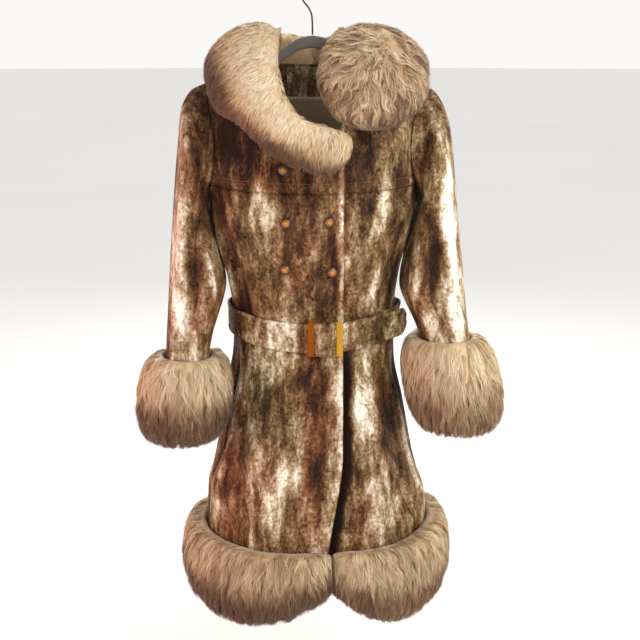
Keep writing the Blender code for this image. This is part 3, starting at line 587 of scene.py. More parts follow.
def edge_distance(points: Array) -> Array:
    """Distance of each point of a grid from its nearest edge, along its row or column.

    Args:
        points: the grid.

    Returns:
        The distances, in metres.
    """
    nearest = np.full(points.shape[:2], np.inf)
    for axis in (0, 1):
        step = np.linalg.norm(np.diff(points, axis=axis), axis=-1)
        pad = [(1, 0) if k == axis else (0, 0) for k in (0, 1)]
        travelled = np.cumsum(np.pad(step, pad), axis=axis)
        whole = travelled.max(axis=axis, keepdims=True)
        nearest = np.minimum(nearest, np.minimum(travelled, whole - travelled))
    return nearest


@dataclass(frozen=True)
class BodyForm:
    """The coat's body as one surface of angle and height, with its edges.

    Lengths are in metres and angles in degrees. Heights are below the hook's bearing point.
    """

    cloth: float = 0.0020
    seam: float = 0.0001
    squareness: float = 0.90
    neck_half: float = 0.085
    neck_rise: float = 0.090
    neck_top: float = -0.1285
    shoulder_slope: float = 0.36
    shoulder_round: float = 0.085
    shoulder_half: float = 0.187
    shoulder_part: float = 0.0013
    underarm: float = -0.372
    arm_opening: float = 25.0
    front_neck_drop: float = 0.150
    back_neck_drop: float = 0.006
    lap_gap: float = 0.0026
    lap_edge_top: float = 0.0545
    lap_edge_hem: float = 0.027
    lap_turns_in: float = -0.80
    lap_turned: float = -1.03
    underlap_turns_in: float = -0.62
    underlap_turned: float = -0.95
    underlap_edge_top: float = -0.055
    underlap_edge_hem: float = 0.006
    lap_full: float = -0.086
    lap_start: float = -0.130
    slit_depth: float = 0.018
    slit_tuck: float = 0.002
    slit_width: float = 0.024
    slit_top: float = -0.615
    slit_fade: float = 0.035
    waist: float = -0.583
    widest_ridge: float = 15.0
    seam_turn: float = 0.0004
    seam_turn_width: float = 0.0025

    @property
    def shoulder_top(self) -> float:
        """Height of the shoulder point."""
        return self.neck_top - self.shoulder_slope * (self.shoulder_half - self.neck_half)

    def shoulder_height(self, x: Array) -> Array:
        """Height of the shoulder line, which runs up inside the neck opening as 1 - (x / half)^2.

        Args:
            x: distance from the middle.

        Returns:
            The height.
        """
        out = np.abs(x)
        slope = self.neck_top - self.shoulder_slope * (out - self.neck_half)
        neck = self.neck_top + self.neck_rise * (1 - (out / self.neck_half) ** 2)
        return np.where(out > self.neck_half, slope, neck)

    def plain(self, angle: Array, height: Array) -> Array:
        """Point of the body without folds.

        The plan is a rounded oval, x = half sin^n and y = -depth cos^n; near the shoulder line
        the depth closes like the side of a circle.

        Args:
            angle: degrees round the body, 0 at centre front, 90 at the wearer's left.
            height: height before the front's sag.

        Returns:
            Points, with x, y, z last.
        """
        turn = np.radians(angle)
        side, fore = np.sin(turn), np.cos(turn)
        half = np.where(side >= 0, column(BODY, "height", "left", height),
                        column(BODY, "height", "right", height))
        x = half * bowed(side, self.squareness)
        depth = np.where(fore >= 0, column(BODY, "height", "front", height),
                         column(BODY, "height", "back", height))
        drop = np.clip((self.shoulder_height(x) - height) / self.shoulder_round, 0, 1)
        closing = np.sqrt(1 - (1 - drop) ** 2)
        apart = self.seam / 2 + self.shoulder_part * (1 - closing)
        y = -np.sign(fore) * (depth * np.abs(fore) ** self.squareness * closing + apart)
        z = height - column(BODY, "height", "sag", height) * np.maximum(fore, 0) ** 2
        return np.stack([x, y, z], axis=-1)

    @staticmethod
    def relief(angle: Array, height: Array, folds: Sequence[Fold]) -> Array:
        """Sum of folds: each is a bell exp(-(a/w)^2) across and fades at both ends.

        Args:
            angle: degrees round the body.
            height: height on it.
            folds: the folds.

        Returns:
            How far they raise the surface.
        """
        total = np.zeros(np.broadcast(angle, height).shape)
        for fold in folds:
            along = (fold.top - height) / (fold.top - fold.foot)
            centre = fold.angle_top + (fold.angle_foot - fold.angle_top) * along
            apart = (angle - centre + 180) % 360 - 180
            ends = smooth_step(0, 0.35, along) * (1 - smooth_step(0.75, 1.1, along))
            total = total + fold.depth * np.exp(-(apart / fold.width) ** 2) * ends
        return total

    def torso(self, angle: Array, height: Array, out: Array | float = 0.0,
              fine: bool = False) -> Array:
        """Point on the coat's outer face, moved along the plain body's normal by folds and out.

        Args:
            angle: degrees round the body.
            height: height on it, before the front's sag.
            out: distance off the folded surface.
            fine: the thin creases are added too.

        Returns:
            The points.
        """
        angle, height = np.broadcast_arrays(np.asarray(angle, float), np.asarray(height, float))
        across = self.plain(angle + 0.6, height) - self.plain(angle - 0.6, height)
        down = self.plain(angle, height - 0.002) - self.plain(angle, height + 0.002)
        normal = unit(np.cross(down, across))
        reach = self.relief(angle, height, MAIN_FOLDS) + out
        if fine:
            reach = reach + self.relief(angle, height, FINE_FOLDS)
        return self.plain(angle, height) + normal * reach[..., None]

    def lap_rise(self, angle: Array, height: Array) -> Array:
        """How far the upper front stands off the lower one: 0 at the side, a layer at the lap."""
        x = self.plain(angle, height)[..., 0]
        return (self.cloth + self.lap_gap) * smooth_step(self.lap_start, self.lap_full, x)

    def arm_spread(self, height: Array) -> Array:
        """Half the armhole's opening, in degrees, at a height."""
        along = np.clip((self.shoulder_top - height) / (self.shoulder_top - self.underarm), 0, 1)
        return self.arm_opening * np.maximum(np.sin(math.pi * along), 0) ** 0.7

    def angle_at(self, x: Array, height: Array) -> Array:
        """The angle at which the front's plan reaches x.

        Args:
            x: distance from the middle.
            height: height on the body.

        Returns:
            The angle in degrees.
        """
        half = np.where(x >= 0, column(BODY, "height", "left", height),
                        column(BODY, "height", "right", height))
        share = np.clip(np.abs(x) / half, 0, 1) ** (1 / self.squareness)
        return np.degrees(np.arcsin(np.sign(x) * share))

    def patch(self, top: Edge, foot: Edge, start: Edge, end: Edge, rows: int, columns: int,
              out: Reach, crowd: float = 1.0) -> Panel:
        """Grid of body points between two edges in height and two in angle.

        An edge's angle and height depend on each other, so each is settled first by a few rounds
        of the same step. Rows and columns lie closer at the edges, which turn under at the seams.

        Args:
            top: upper edge's height by angle.
            foot: lower edge's height by angle.
            start: first edge's angle by height.
            end: last edge's angle by height.
            rows: points down.
            columns: points across.
            out: distance off the body by angle and height.
            crowd: above 1 sets the rows closer at the top.

        Returns:
            The points in rows and columns, with the height of the folds at each.
        """
        across = edge_spaced(columns)[None, :]
        down = (edge_spaced(rows) ** crowd)[:, None]
        edges = []
        for edge in (start, end):
            height = np.full((rows, 1), -0.5)
            for _ in range(40):
                angle = edge(height)
                height = (height + top(angle) + (foot(angle) - top(angle)) * down) / 2
            edges.append(edge(height))
        angle = edges[0] + (edges[1] - edges[0]) * across
        height = top(angle) + (foot(angle) - top(angle)) * down
        reach = out(angle, height)
        points = self.torso(angle, height, reach, fine=True)
        turned = self.seam_turn * np.exp(-(edge_distance(points) / self.seam_turn_width) ** 2)
        narrow = [fold for fold in MAIN_FOLDS + FINE_FOLDS if fold.width < self.widest_ridge]
        ridges = self.relief(angle, height, narrow)
        return Panel(self.torso(angle, height, reach - turned, fine=True), ridges + 0.5 * reach)

    def shoulder_x(self, angle: Array) -> Array:
        """Where an angle lies across the shoulders, above the underarm."""
        return self.plain(angle, 0 * angle + BODY[0].height)[..., 0]

    def neck(self, angle: Array, drop: float, power: float) -> Array:
        """Top edge of a yoke: the shoulder seam, then down round the neck by drop."""
        x = self.shoulder_x(angle)
        inside = np.clip(1 - (x / self.neck_half) ** 2, 0, 1) ** power
        return self.shoulder_height(np.maximum(np.abs(x), self.neck_half)) - 1e-6 - drop * inside

    def front_neck(self, angle: Array) -> Array:
        """Top edge of the fronts."""
        return self.neck(angle, self.front_neck_drop, 1.0)

    def back_neck(self, angle: Array) -> Array:
        """Top edge of the back."""
        return self.neck(angle, self.back_neck_drop, 0.5)

    def lap_edge_x(self, height: Array) -> Array:
        """Where the right front's free edge lies: straight to mid skirt, then drifting in."""
        drift = smooth_step(-self.lap_turns_in, -self.lap_turned, -height)
        return self.lap_edge_top + (self.lap_edge_hem - self.lap_edge_top) * drift

    def lap_edge(self, height: Array) -> Array:
        """Free edge of the right front."""
        return self.angle_at(self.lap_edge_x(height), height)

    def underlap_edge(self, height: Array) -> Array:
        """Free edge of the left front, under the right one."""
        drift = smooth_step(-self.underlap_turns_in, -self.underlap_turned, -height)
        x = self.underlap_edge_top + (self.underlap_edge_hem - self.underlap_edge_top) * drift
        return self.angle_at(x, height)

    def below_slit(self, height: Array) -> Array:
        """0 above the slit's top and 1 below it."""
        return smooth_step(-self.slit_top, self.slit_fade - self.slit_top, -height)

    def slit_groove(self, angle: Array, height: Array) -> Array:
        """The left front turns in under the lap below the belt, which opens a shadowed groove.

        Args:
            angle: degrees round the body.
            height: height on it.

        Returns:
            How far the left front lies off the plain body, 0 or below.
        """
        x = self.plain(angle, height)[..., 0]
        turned = 1 - smooth_step(-self.slit_tuck, self.slit_width, x - self.lap_edge_x(height))
        return -self.slit_depth * turned * self.below_slit(height)

    def side(self, angle: float, way: int) -> Edge:
        """A panel's edge along the armhole and side seam: the seam's angle, or off it by way."""
        return lambda height: angle + way * self.arm_spread(height)


def level(height: float) -> Edge:
    """A level edge at a height."""
    return lambda angle: 0 * angle + height


def plumb(angle: float) -> Edge:
    """An edge that keeps to one angle."""
    return lambda height: 0 * height + angle


# ---------------------------------------------------------------- meshes
def make_mesh(name: str, points: Array, polygons: Sequence[Array]) -> bpy.types.Mesh:
    """Mesh from arrays.

    Args:
        name: the mesh's name.
        points: vertices, one to a row.
        polygons: arrays of vertex numbers, one array for each number of corners.

    Returns:
        The mesh, shaded smooth.
    """
    mesh = bpy.data.meshes.new(name)
    sizes = np.concatenate([np.full(len(group), group.shape[1]) for group in polygons])
    corners = np.concatenate([group.ravel() for group in polygons])
    starts = np.concatenate([[0], np.cumsum(sizes)[:-1]])
    mesh.vertices.add(len(points))
    mesh.vertices.foreach_set("co", points.astype(np.float32).ravel())
    mesh.loops.add(len(corners))
    mesh.loops.foreach_set("vertex_index", corners.astype(np.int32))
    mesh.polygons.add(len(sizes))
    mesh.polygons.foreach_set("loop_start", starts.astype(np.int32))
    mesh.update(calc_edges=True)
    mesh.validate()
    mesh.shade_smooth()
    return mesh


def grid_faces(rows: int, columns: int, wrap_rows: bool = False,
               wrap_columns: bool = False) -> Array:
    """Four-cornered faces of a grid numbered row by row.

    Args:
        rows: points down.
        columns: points across.
        wrap_rows: the last row meets the first.
        wrap_columns: the last column meets the first.

    Returns:
        One face to a row: the point, the one below, that one's right and the point's right.
    """
    i = np.arange(rows if wrap_rows else rows - 1)[:, None]
    j = np.arange(columns if wrap_columns else columns - 1)[None, :]
    below, right = (i + 1) % rows, (j + 1) % columns
    corners = [i * columns + j, below * columns + j, below * columns + right, i * columns + right]
    return np.stack(np.broadcast_arrays(*corners), axis=-1).reshape(-1, 4)


def end_fans(count: int, size: int, first: int) -> Array:
    """Triangles over both ends of a row of rings.

    Args:
        count: how many rings.
        size: points of a ring.
        first: number of the first end's centre, which the last end's follows.

    Returns:
        One triangle to a row.
    """
    ring = np.arange(size)
    after = (ring + 1) % size
    last = (count - 1) * size
    start = np.stack([np.full(size, first), ring, after], axis=-1)
    end = np.stack([np.full(size, first + 1), last + after, last + ring], axis=-1)
    return np.concatenate([start, end])


def lend_normals(mesh: bpy.types.Mesh, normals: Array) -> None:
    """Give every vertex a shading normal, so that thin strands shade softly as one coat."""
    mesh.normals_split_custom_set_from_vertices(normals.astype(np.float32))


def corner_map(mesh: bpy.types.Mesh, name: str, by_vertex: Array) -> None:
    """UV map whose corners take their vertex's value.

    Args:
        mesh: the mesh.
        name: the map's name.
        by_vertex: two values for each vertex.
    """
    corners = np.empty(len(mesh.loops), np.int32)
    mesh.loops.foreach_get("vertex_index", corners)
    layer = mesh.uv_layers.new(name=name)
    layer.uv.foreach_set("vector", by_vertex[corners].astype(np.float32).ravel())


def tube(path: Array, radius: Array, sides: int, across: Array) -> tuple[Array, list[Array]]:
    """Closed round tube: circles square to a path, with a fan over each end.

    Args:
        path: points of the middle line.
        radius: radius at each point.
        sides: corners of a circle.
        across: a direction square to the whole path.

    Returns:
        Vertices and faces.
    """
    ahead = unit(np.gradient(path, axis=0))
    second = unit(np.cross(ahead, across))
    turn = full_turn(sides)[None, :, None]
    circle = np.cos(turn) * across + np.sin(turn) * second[:, None]
    points = (path[:, None] + circle * radius[:, None, None]).reshape(-1, 3)
    quads = grid_faces(len(path), sides, wrap_columns=True)
    caps = end_fans(len(path), sides, len(points))
    return np.concatenate([points, path[:1], path[-1:]]), [quads, caps]


def outward(mesh: bpy.types.Mesh) -> None:
    """Turn a closed mesh's faces outwards if its signed volume, the sum of a . (b x c), is below 0.

    Args:
        mesh: the mesh.
    """
    mesh.calc_loop_triangles()
    points = np.empty(len(mesh.vertices) * 3, np.float32)
    mesh.vertices.foreach_get("co", points)
    triangles = np.empty(len(mesh.loop_triangles) * 3, np.int32)
    mesh.loop_triangles.foreach_get("vertices", triangles)
    a, b, c = points.reshape(-1, 3)[triangles].reshape(-1, 3, 3).transpose(1, 0, 2).astype(float)
    if np.sum(a * np.cross(b, c)) < 0:
        mesh.flip_normals()


# ---------------------------------------------------------------- shader expressions
class Value:
    """A socket of a material's graph. Arithmetic on it adds Math nodes."""

    def __init__(self, graph: Graph, socket: bpy.types.NodeSocket) -> None:
        """Wrap a socket of a graph."""
        self.graph = graph
        self.socket = socket

    def __add__(self, other: Value | Number) -> Value:
        """Sum."""
        return self.graph.math("ADD", self, other)

    __radd__ = __add__

    def __mul__(self, other: Value | Number) -> Value:
        """Product."""
        return self.graph.math("MULTIPLY", self, other)

    __rmul__ = __mul__

    def __sub__(self, other: Value | Number) -> Value:
        """Difference."""
        return self.graph.math("SUBTRACT", self, other)

    def __rsub__(self, other: Number) -> Value:
        """Difference from a number, as in 1 - mask."""
        return self.graph.math("SUBTRACT", other, self)

    def __truediv__(self, other: Value | Number) -> Value:
        """Quotient."""
        return self.graph.math("DIVIDE", self, other)


class Graph:
    """A material's nodes, built by expressions."""

    def __init__(self, name: str) -> None:
        """Start a material with one Principled shader.

        Args:
            name: the material's name.
        """
        self.material = bpy.data.materials.new(name)
        self.material.use_nodes = True
        self.tree = self.material.node_tree
        self.shader = self.tree.nodes["Principled BSDF"]

    def node(self, kind: str, settings: dict | None = None, inputs: dict | None = None,
             output: str | int = 0) -> Value:
        """Add any node.

        Args:
            kind: the node's type.
            settings: its properties, set first; stops gives a ramp's places and colours.
            inputs: values or links by socket name or number.
            output: the socket that is returned.

        Returns:
            The node's output.
        """
        node = self.tree.nodes.new(kind)
        for name, setting in (settings or {}).items():
            if name == "stops":
                self._set_stops(node, setting)
            else:
                setattr(node, name, setting)
        for name, given in (inputs or {}).items():
            if isinstance(given, Value):
                self.tree.links.new(given.socket, node.inputs[name])
            else:
                node.inputs[name].default_value = given
        return Value(self, node.outputs[output])

    @staticmethod
    def _set_stops(node: bpy.types.Node, stops: Sequence[tuple]) -> None:
        """Place a ramp's stops.

        Args:
            node: the ramp.
            stops: place and colour of each.
        """
        elements = node.color_ramp.elements
        while len(elements) < len(stops):
            elements.new(0.5)
        for element, (place, colour) in zip(elements, stops):
            element.position = place
            element.color = colour

    def math(self, operation: str, *values: Value | Number) -> Value:
        """One Math node."""
        return self.node("ShaderNodeMath", {"operation": operation}, dict(enumerate(values)))

    def clamp(self, value: Value) -> Value:
        """The value held between 0 and 1."""
        return self.node("ShaderNodeClamp", inputs={"Value": value})

    def vector(self, operation: str, first: Value, second: Value | tuple) -> Value:
        """One Vector Math node of two vectors."""
        return self.node("ShaderNodeVectorMath", {"operation": operation}, {0: first, 1: second})

    def mix(self, factor: Value | Number, first: Value | tuple, second: Value | tuple,
            blend: str = "MIX") -> Value:
        """Two colours mixed."""
        settings = {"data_type": "RGBA", "blend_type": blend}
        return self.node("ShaderNodeMix", settings, {0: factor, 6: first, 7: second}, output=2)

    def ramp(self, value: Value, stops: Sequence[tuple]) -> Value:
        """Colour read from a ramp."""
        return self.node("ShaderNodeValToRGB", {"stops": stops}, {"Fac": value})

    def place(self, stretch: tuple[float, float, float] = (1, 1, 1)) -> Value:
        """Object coordinates, scaled along each axis."""
        where = self.node("ShaderNodeTexCoord", output="Object")
        return self.vector("MULTIPLY", where, stretch)

    def attribute(self, name: str) -> Value:
        """A number stored on the mesh's points."""
        return self.node("ShaderNodeAttribute", {"attribute_name": name}, output="Fac")

    def noise(self, where: Value, scale: float, detail: float = 2.0, roughness: float = 0.5,
              output: str = "Fac") -> Value:
        """Noise at places."""
        inputs = {"Vector": where, "Scale": scale, "Detail": detail, "Roughness": roughness}
        return self.node("ShaderNodeTexNoise", inputs=inputs, output=output)

    def bump(self, height: Value, strength: float, distance: float) -> Value:
        """Normal of a height."""
        inputs = {"Height": height, "Strength": strength, "Distance": distance}
        return self.node("ShaderNodeBump", inputs=inputs)

    def finish(self, **sockets: Value | Number | tuple) -> bpy.types.Material:
        """Set the shader's sockets.

        Args:
            sockets: values or links by socket name, with _ for a space.

        Returns:
            The material.
        """
        for name, given in sockets.items():
            socket = self.shader.inputs[name.replace("_", " ")]
            if isinstance(given, Value):
                self.tree.links.new(given.socket, socket)
            else:
                socket.default_value = given
        return self.material


# ---------------------------------------------------------------- finishes
@dataclass(frozen=True)
class PileClothFinish:
    """Crushed pile cloth: mottled down the coat from dark brown through taupe to cream, with
    painted highlight and shade.
    """

    drift_scale: float = 26.0
    drift: tuple[float, float, float] = (0.018, 0.018, 0.030)
    blotch_scale: float = 24.0
    streak_scale: float = 62.0
    crackle_scale: float = 150.0
    grain_scale: float = 210.0
    hue_scale: float = 20.0
    middle_tone: float = 0.44
    middle_hue: float = 0.42
    roughness: float = 0.84
    gloss: float = 0.62
    specular: float = 0.18
    sheen: float = 0.05
    nap_depth: float = 0.005

    def material(self) -> bpy.types.Material:
        """The pile's tone, which carries painted highlight and shade, and stretched noise feed one
        ramp; dark specks crackle the light parts.

        Every noise is read on coordinates bent by a slow drift, so that streaks wander.

        Returns:
            The material.
        """
        graph = Graph("pile_cloth_crushed")
        light, red = (graph.attribute(f"pile_{key}") for key in Tone._fields)
        drift = graph.noise(graph.place((1, 1, 0.6)), self.drift_scale, output="Color")
        bent = graph.vector("ADD", graph.place(), graph.vector("MULTIPLY", drift, self.drift))
        streaks, grain, blotch, crackle, hue = (
            graph.noise(graph.vector("MULTIPLY", bent, (1, 1, down)), scale, detail, roughness)
            for down, scale, detail, roughness in (
                (0.30, self.streak_scale, 3.0, 0.55),
                (0.75, self.grain_scale, 3.0, 0.62),
                (0.32, self.blotch_scale, 2.0, 0.50),
                (0.70, self.crackle_scale, 4.0, 0.75),
                (0.50, self.hue_scale, 2.0, 0.50),
            ))
        # light is the pile's painted highlight and shade.
        tone = self.middle_tone + light * 0.18 + (blotch - 0.5) * 0.70
        tone = tone + (streaks - 0.5) * 0.85 + (grain - 0.5) * 0.55
        specks = graph.clamp((crackle - 0.54) * 9.0)
        tone = tone - specks * 0.16
        # The silvery cream top stops stand for the pile's sheen, a painted highlight.
        greyer = graph.ramp(tone, (
            (0.16, srgb(28, 19, 11)),
            (0.34, srgb(70, 51, 27)),
            (0.47, srgb(112, 92, 58)),
            (0.58, srgb(150, 134, 102)),
            (0.70, srgb(196, 188, 166)),
            (0.84, srgb(240, 236, 222)),
        ))
        redder = graph.ramp(tone, (
            (0.16, srgb(34, 16, 7)),
            (0.34, srgb(84, 46, 23)),
            (0.47, srgb(122, 82, 52)),
            (0.58, srgb(152, 119, 93)),
            (0.70, srgb(194, 172, 154)),
            (0.84, srgb(240, 230, 218)),
        ))
        # Redness is partly the cloth's own and partly painted red light on the wearer's right side.
        redness = graph.clamp(self.middle_hue + red * 0.55 + (hue - 0.5) * 1.4)
        nap = streaks * 0.7 + grain * 0.45 + crackle * 0.35
        return graph.finish(
            Base_Color=graph.mix(redness, greyer, redder),
            Roughness=graph.clamp(self.roughness - tone * self.gloss + specks * 0.10),
            Normal=graph.bump(nap, 0.60, self.nap_depth),
            Specular_IOR_Level=self.specular,
            Sheen_Weight=self.sheen,
            Sheen_Roughness=0.35,
        )


PILE = PileClothFinish()


@dataclass(frozen=True)
class LiningFinish:
    """Smooth dark olive-brown lining with a fine weave."""

    roughness: float = 0.45

    def material(self) -> bpy.types.Material:
        """Slow shade changes and fine crossed threads.

        Returns:
            The material.
        """
        graph = Graph("lining_satin")
        shade = graph.noise(graph.place((1, 1, 0.4)), 16.0, 3.0)
        colour = graph.mix(shade, srgb(150, 122, 86), srgb(204, 178, 138))
        weave = graph.noise(graph.place((1, 1, 0.2)), 900.0, 1.0)
        return graph.finish(
            Base_Color=colour,
            Roughness=graph.clamp(self.roughness + shade * 0.15),
            Normal=graph.bump(weave, 0.2, 0.0006),
        )


@dataclass(frozen=True)
class FurFinish:
    """Long fur. The strand's map holds its shade across and root to tip along."""

    roughness: float = 0.62
    strand_map: str = "strand"

    def material(self) -> bpy.types.Material:
        """Shade picks from dark brown to cream, and roots are darker than tips.

        Returns:
            The material.
        """
        graph = Graph("long_fur_locks")
        strand = graph.node("ShaderNodeUVMap", {"uv_map": self.strand_map})
        split = graph.node("ShaderNodeSeparateXYZ", inputs={0: strand}, output="X")
        along = Value(graph, split.socket.node.outputs["Y"])
        shade = graph.ramp(split, (
            (0.00, srgb(96, 68, 48)),
            (0.22, srgb(148, 116, 88)),
            (0.45, srgb(200, 175, 142)),
            (0.65, srgb(228, 210, 180)),
            (0.85, srgb(244, 234, 212)),
            (1.00, srgb(253, 249, 238)),
        ))
        depth = graph.ramp(along, (
            (0.00, srgb(206, 188, 166)),
            (0.30, srgb(236, 226, 212)),
            (0.65, srgb(252, 249, 244)),
            (1.00, srgb(255, 255, 255)),
        ))
        return graph.finish(
            Base_Color=graph.mix(1.0, shade, depth, "MULTIPLY"),
            Roughness=self.roughness + 0.12 * along,
            Specular_IOR_Level=0.35,
            Sheen_Weight=0.15,
            Sheen_Roughness=0.5,
        )


@dataclass(frozen=True)
class GiltFinish:
    """Gilt buckle: painted shade makes the wearer's right bar darker orange gold, painted highlight
    the left one yellow gold.
    """

    right_edge: float = 0.010
    left_edge: float = 0.050

    def material(self) -> bpy.types.Material:
        """Colour runs across the buckle from painted shade to painted highlight; fine brushing and
        small scratches in the roughness.

        Returns:
            The material.
        """
        graph = Graph("gilt_buckle")
        x = graph.node("ShaderNodeSeparateXYZ", inputs={0: graph.place()}, output="X")
        across = graph.clamp((x - self.right_edge) / (self.left_edge - self.right_edge))
        worn = graph.noise(graph.place((1, 1, 0.15)), 420.0, 3.0)
        # Painted shade on the wearer's right bar, painted highlight on the left one.
        colour = graph.mix(across, srgb(158, 80, 18), srgb(214, 166, 62))
        return graph.finish(
            Base_Color=graph.mix(worn * 0.35, colour, srgb(120, 72, 24)),
            Roughness=graph.clamp(0.22 + worn * 0.22),
            Metallic=1.0,
            Normal=graph.bump(worn, 0.12, 0.0004),
        )


@dataclass(frozen=True)
class ResinFinish:
    """Amber button: a glossy dome with a dark rim. The map's second value runs centre to rim."""

    turned_map: str = "turned"

    def material(self) -> bpy.types.Material:
        """Rings from light amber at the centre, a painted highlight, through brown down the dome,
        painted shade, to the rim's own dark brown; the centre is streaked.

        Returns:
            The material.
        """
        graph = Graph("button_amber")
        turned = graph.node("ShaderNodeUVMap", {"uv_map": self.turned_map})
        split = graph.node("ShaderNodeSeparateXYZ", inputs={0: turned}, output="Y")
        streak = graph.noise(graph.place((1, 1, 2.5)), 260.0, 3.0)
        # Painted highlight in the middle, painted shade down the dome; the last stop is the rim's
        # own dark brown.
        colour = graph.ramp(split + (streak - 0.5) * 0.14, (
            (0.00, srgb(206, 150, 52)),
            (0.10, srgb(170, 108, 26)),
            (0.24, srgb(126, 72, 14)),
            (0.36, srgb(82, 43, 9)),
            (0.48, srgb(30, 15, 7)),
        ))
        return graph.finish(
            Base_Color=colour,
            Roughness=graph.clamp(0.24 + streak * 0.2),
            Normal=graph.bump(streak, 0.25, 0.0006),
            Coat_Weight=0.15,
        )


@dataclass(frozen=True)
class FlockFinish:
    """Grey-brown flocked hanger bar."""

    def material(self) -> bpy.types.Material:
        """Fine flock with slightly rubbed places.

        Returns:
            The material.
        """
        graph = Graph("hanger_flock")
        flock = graph.noise(graph.place(), 1500.0, 2.0)
        rubbed = graph.noise(graph.place(), 30.0, 3.0)
        colour = graph.mix(rubbed, srgb(72, 66, 64), srgb(112, 104, 100))
        return graph.finish(
            Base_Color=graph.mix(flock * 0.3, colour, srgb(50, 45, 44)),
            Roughness=graph.clamp(0.62 + flock * 0.2),
            Normal=graph.bump(flock, 0.3, 0.0006),
            Sheen_Weight=0.4,
            Sheen_Roughness=0.5,
        )


@dataclass(frozen=True)
class TwoToneFinish:
    """Two close tones mixed by noise, which may also make the roughness uneven."""

    name: str
    scale: float
    detail: float
    dark: tuple[int, int, int]
    light: tuple[int, int, int]
    roughness: float
    uneven: float = 0.0
    metallic: float = 0.0

    def material(self) -> bpy.types.Material:
        """Noise on Object coordinates mixes the tones.

        Returns:
            The material.
        """
        graph = Graph(self.name)
        worn = graph.noise(graph.place(), self.scale, self.detail)
        roughness = self.roughness
        if self.uneven:
            roughness = graph.clamp(roughness + worn * self.uneven)
        return graph.finish(Base_Color=graph.mix(worn, srgb(*self.dark), srgb(*self.light)),
                            Roughness=roughness, Metallic=self.metallic)


WIRE = TwoToneFinish("hook_wire", 240.0, 3.0, (34, 32, 34), (74, 70, 70), 0.28, 0.2, 1.0)
THREAD = TwoToneFinish("sewing_thread", 900.0, 2.0, (92, 58, 40), (168, 130, 98), 0.6)
FLOOR = TwoToneFinish("studio_floor", 0.6, 2.0, (236, 235, 233), (243, 242, 241), 0.8)


# ---------------------------------------------------------------- putting pieces in the scene
@dataclass
class Dresser:
    """Adds finished pieces, puts each on the root body and hides the solids that it stands for."""

    frame: dict
    looks: dict[object, bpy.types.Material] = field(default_factory=dict)

    def look(self, finish: object) -> bpy.types.Material:
        """The finish's material, made once.

        Args:
            finish: a frozen dataclass with a material method.

        Returns:
            The material.
        """
        if finish not in self.looks:
            self.looks[finish] = finish.material()
        return self.looks[finish]

    def add(self, name: str, mesh: bpy.types.Mesh, finish: object, slot: Slot,
            nodes: Sequence[str] = ()) -> bpy.types.Object:
        """Put a piece in the scene.

        Args:
            name: the piece's name.
            mesh: its mesh, in the row frame.
            finish: what it is made of.
            slot: the record's material slot; not used.
            nodes: the solids it stands for.

        Returns:
            The piece's object.
        """
        piece = bpy.data.objects.new(name, mesh)
        mesh.materials.append(self.look(finish))
        bpy.context.scene.collection.objects.link(piece)
        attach(piece, "root")
        if nodes:
            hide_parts(*nodes)
        stands_for = ", ".join(nodes) or "trim"
        log.info("%s: %d faces, stands for %s", name, len(mesh.polygons), stands_for)
        return piece

    def add_cloth(self, node: str, points: Array, thickness: float, tone: Tone | None = None,
                  wraps: bool = False, finish: object = PILE, slot: Slot = Slot.PILE_CLOTH,
                  ) -> bpy.types.Object:
        """The cut is read from the grid: its widest row, its longest column and its area.

        Args:
            node: the solid it stands for, whose name it takes.
            points: grid of points on the outer face, rows down and columns to the wearer's left.
            thickness: the cloth's thickness, which lies inwards.
            tone: the pile's tone by point.
            wraps: the grid is a tube.
            finish: what it is made of.
            slot: the record's material slot.

        Returns:
            The piece's object.
        """
        name = f"{node}_cloth"
        rows, columns = points.shape[:2]
        faces = grid_faces(rows, columns, wrap_columns=wraps)
        mesh = make_mesh(name, points.reshape(-1, 3), [faces])
        if tone is not None:
            for key, values in tone._asdict().items():
                values = np.broadcast_to(values, (rows, columns)).astype(np.float32)
                layer = mesh.attributes.new(f"pile_{key}", "FLOAT", "POINT")
                layer.data.foreach_set("value", values.ravel())
        piece = self.add(name, mesh, finish, slot, [node])
        wall = piece.modifiers.new("wall", "SOLIDIFY")
        wall.thickness = thickness
        wall.offset = -1
        closed = np.concatenate([points, points[:, :1]], axis=1) if wraps else points
        width = float(np.linalg.norm(np.diff(closed, axis=1), axis=-1).sum(axis=1).max())
        length = float(np.linalg.norm(np.diff(points, axis=0), axis=-1).sum(axis=0).max())
        a, b, c, d = (points.reshape(-1, 3)[faces[:, k]] for k in range(4))
        area = float(np.linalg.norm(np.cross(c - a, d - b), axis=-1).sum() / 2)
        width, length = round(width, 3), round(length, 3)
        area = min(area, width * length)
        log.info("%s: cut %.3f x %.3f m, %.4f square metres", name, width, length, area)
        return piece


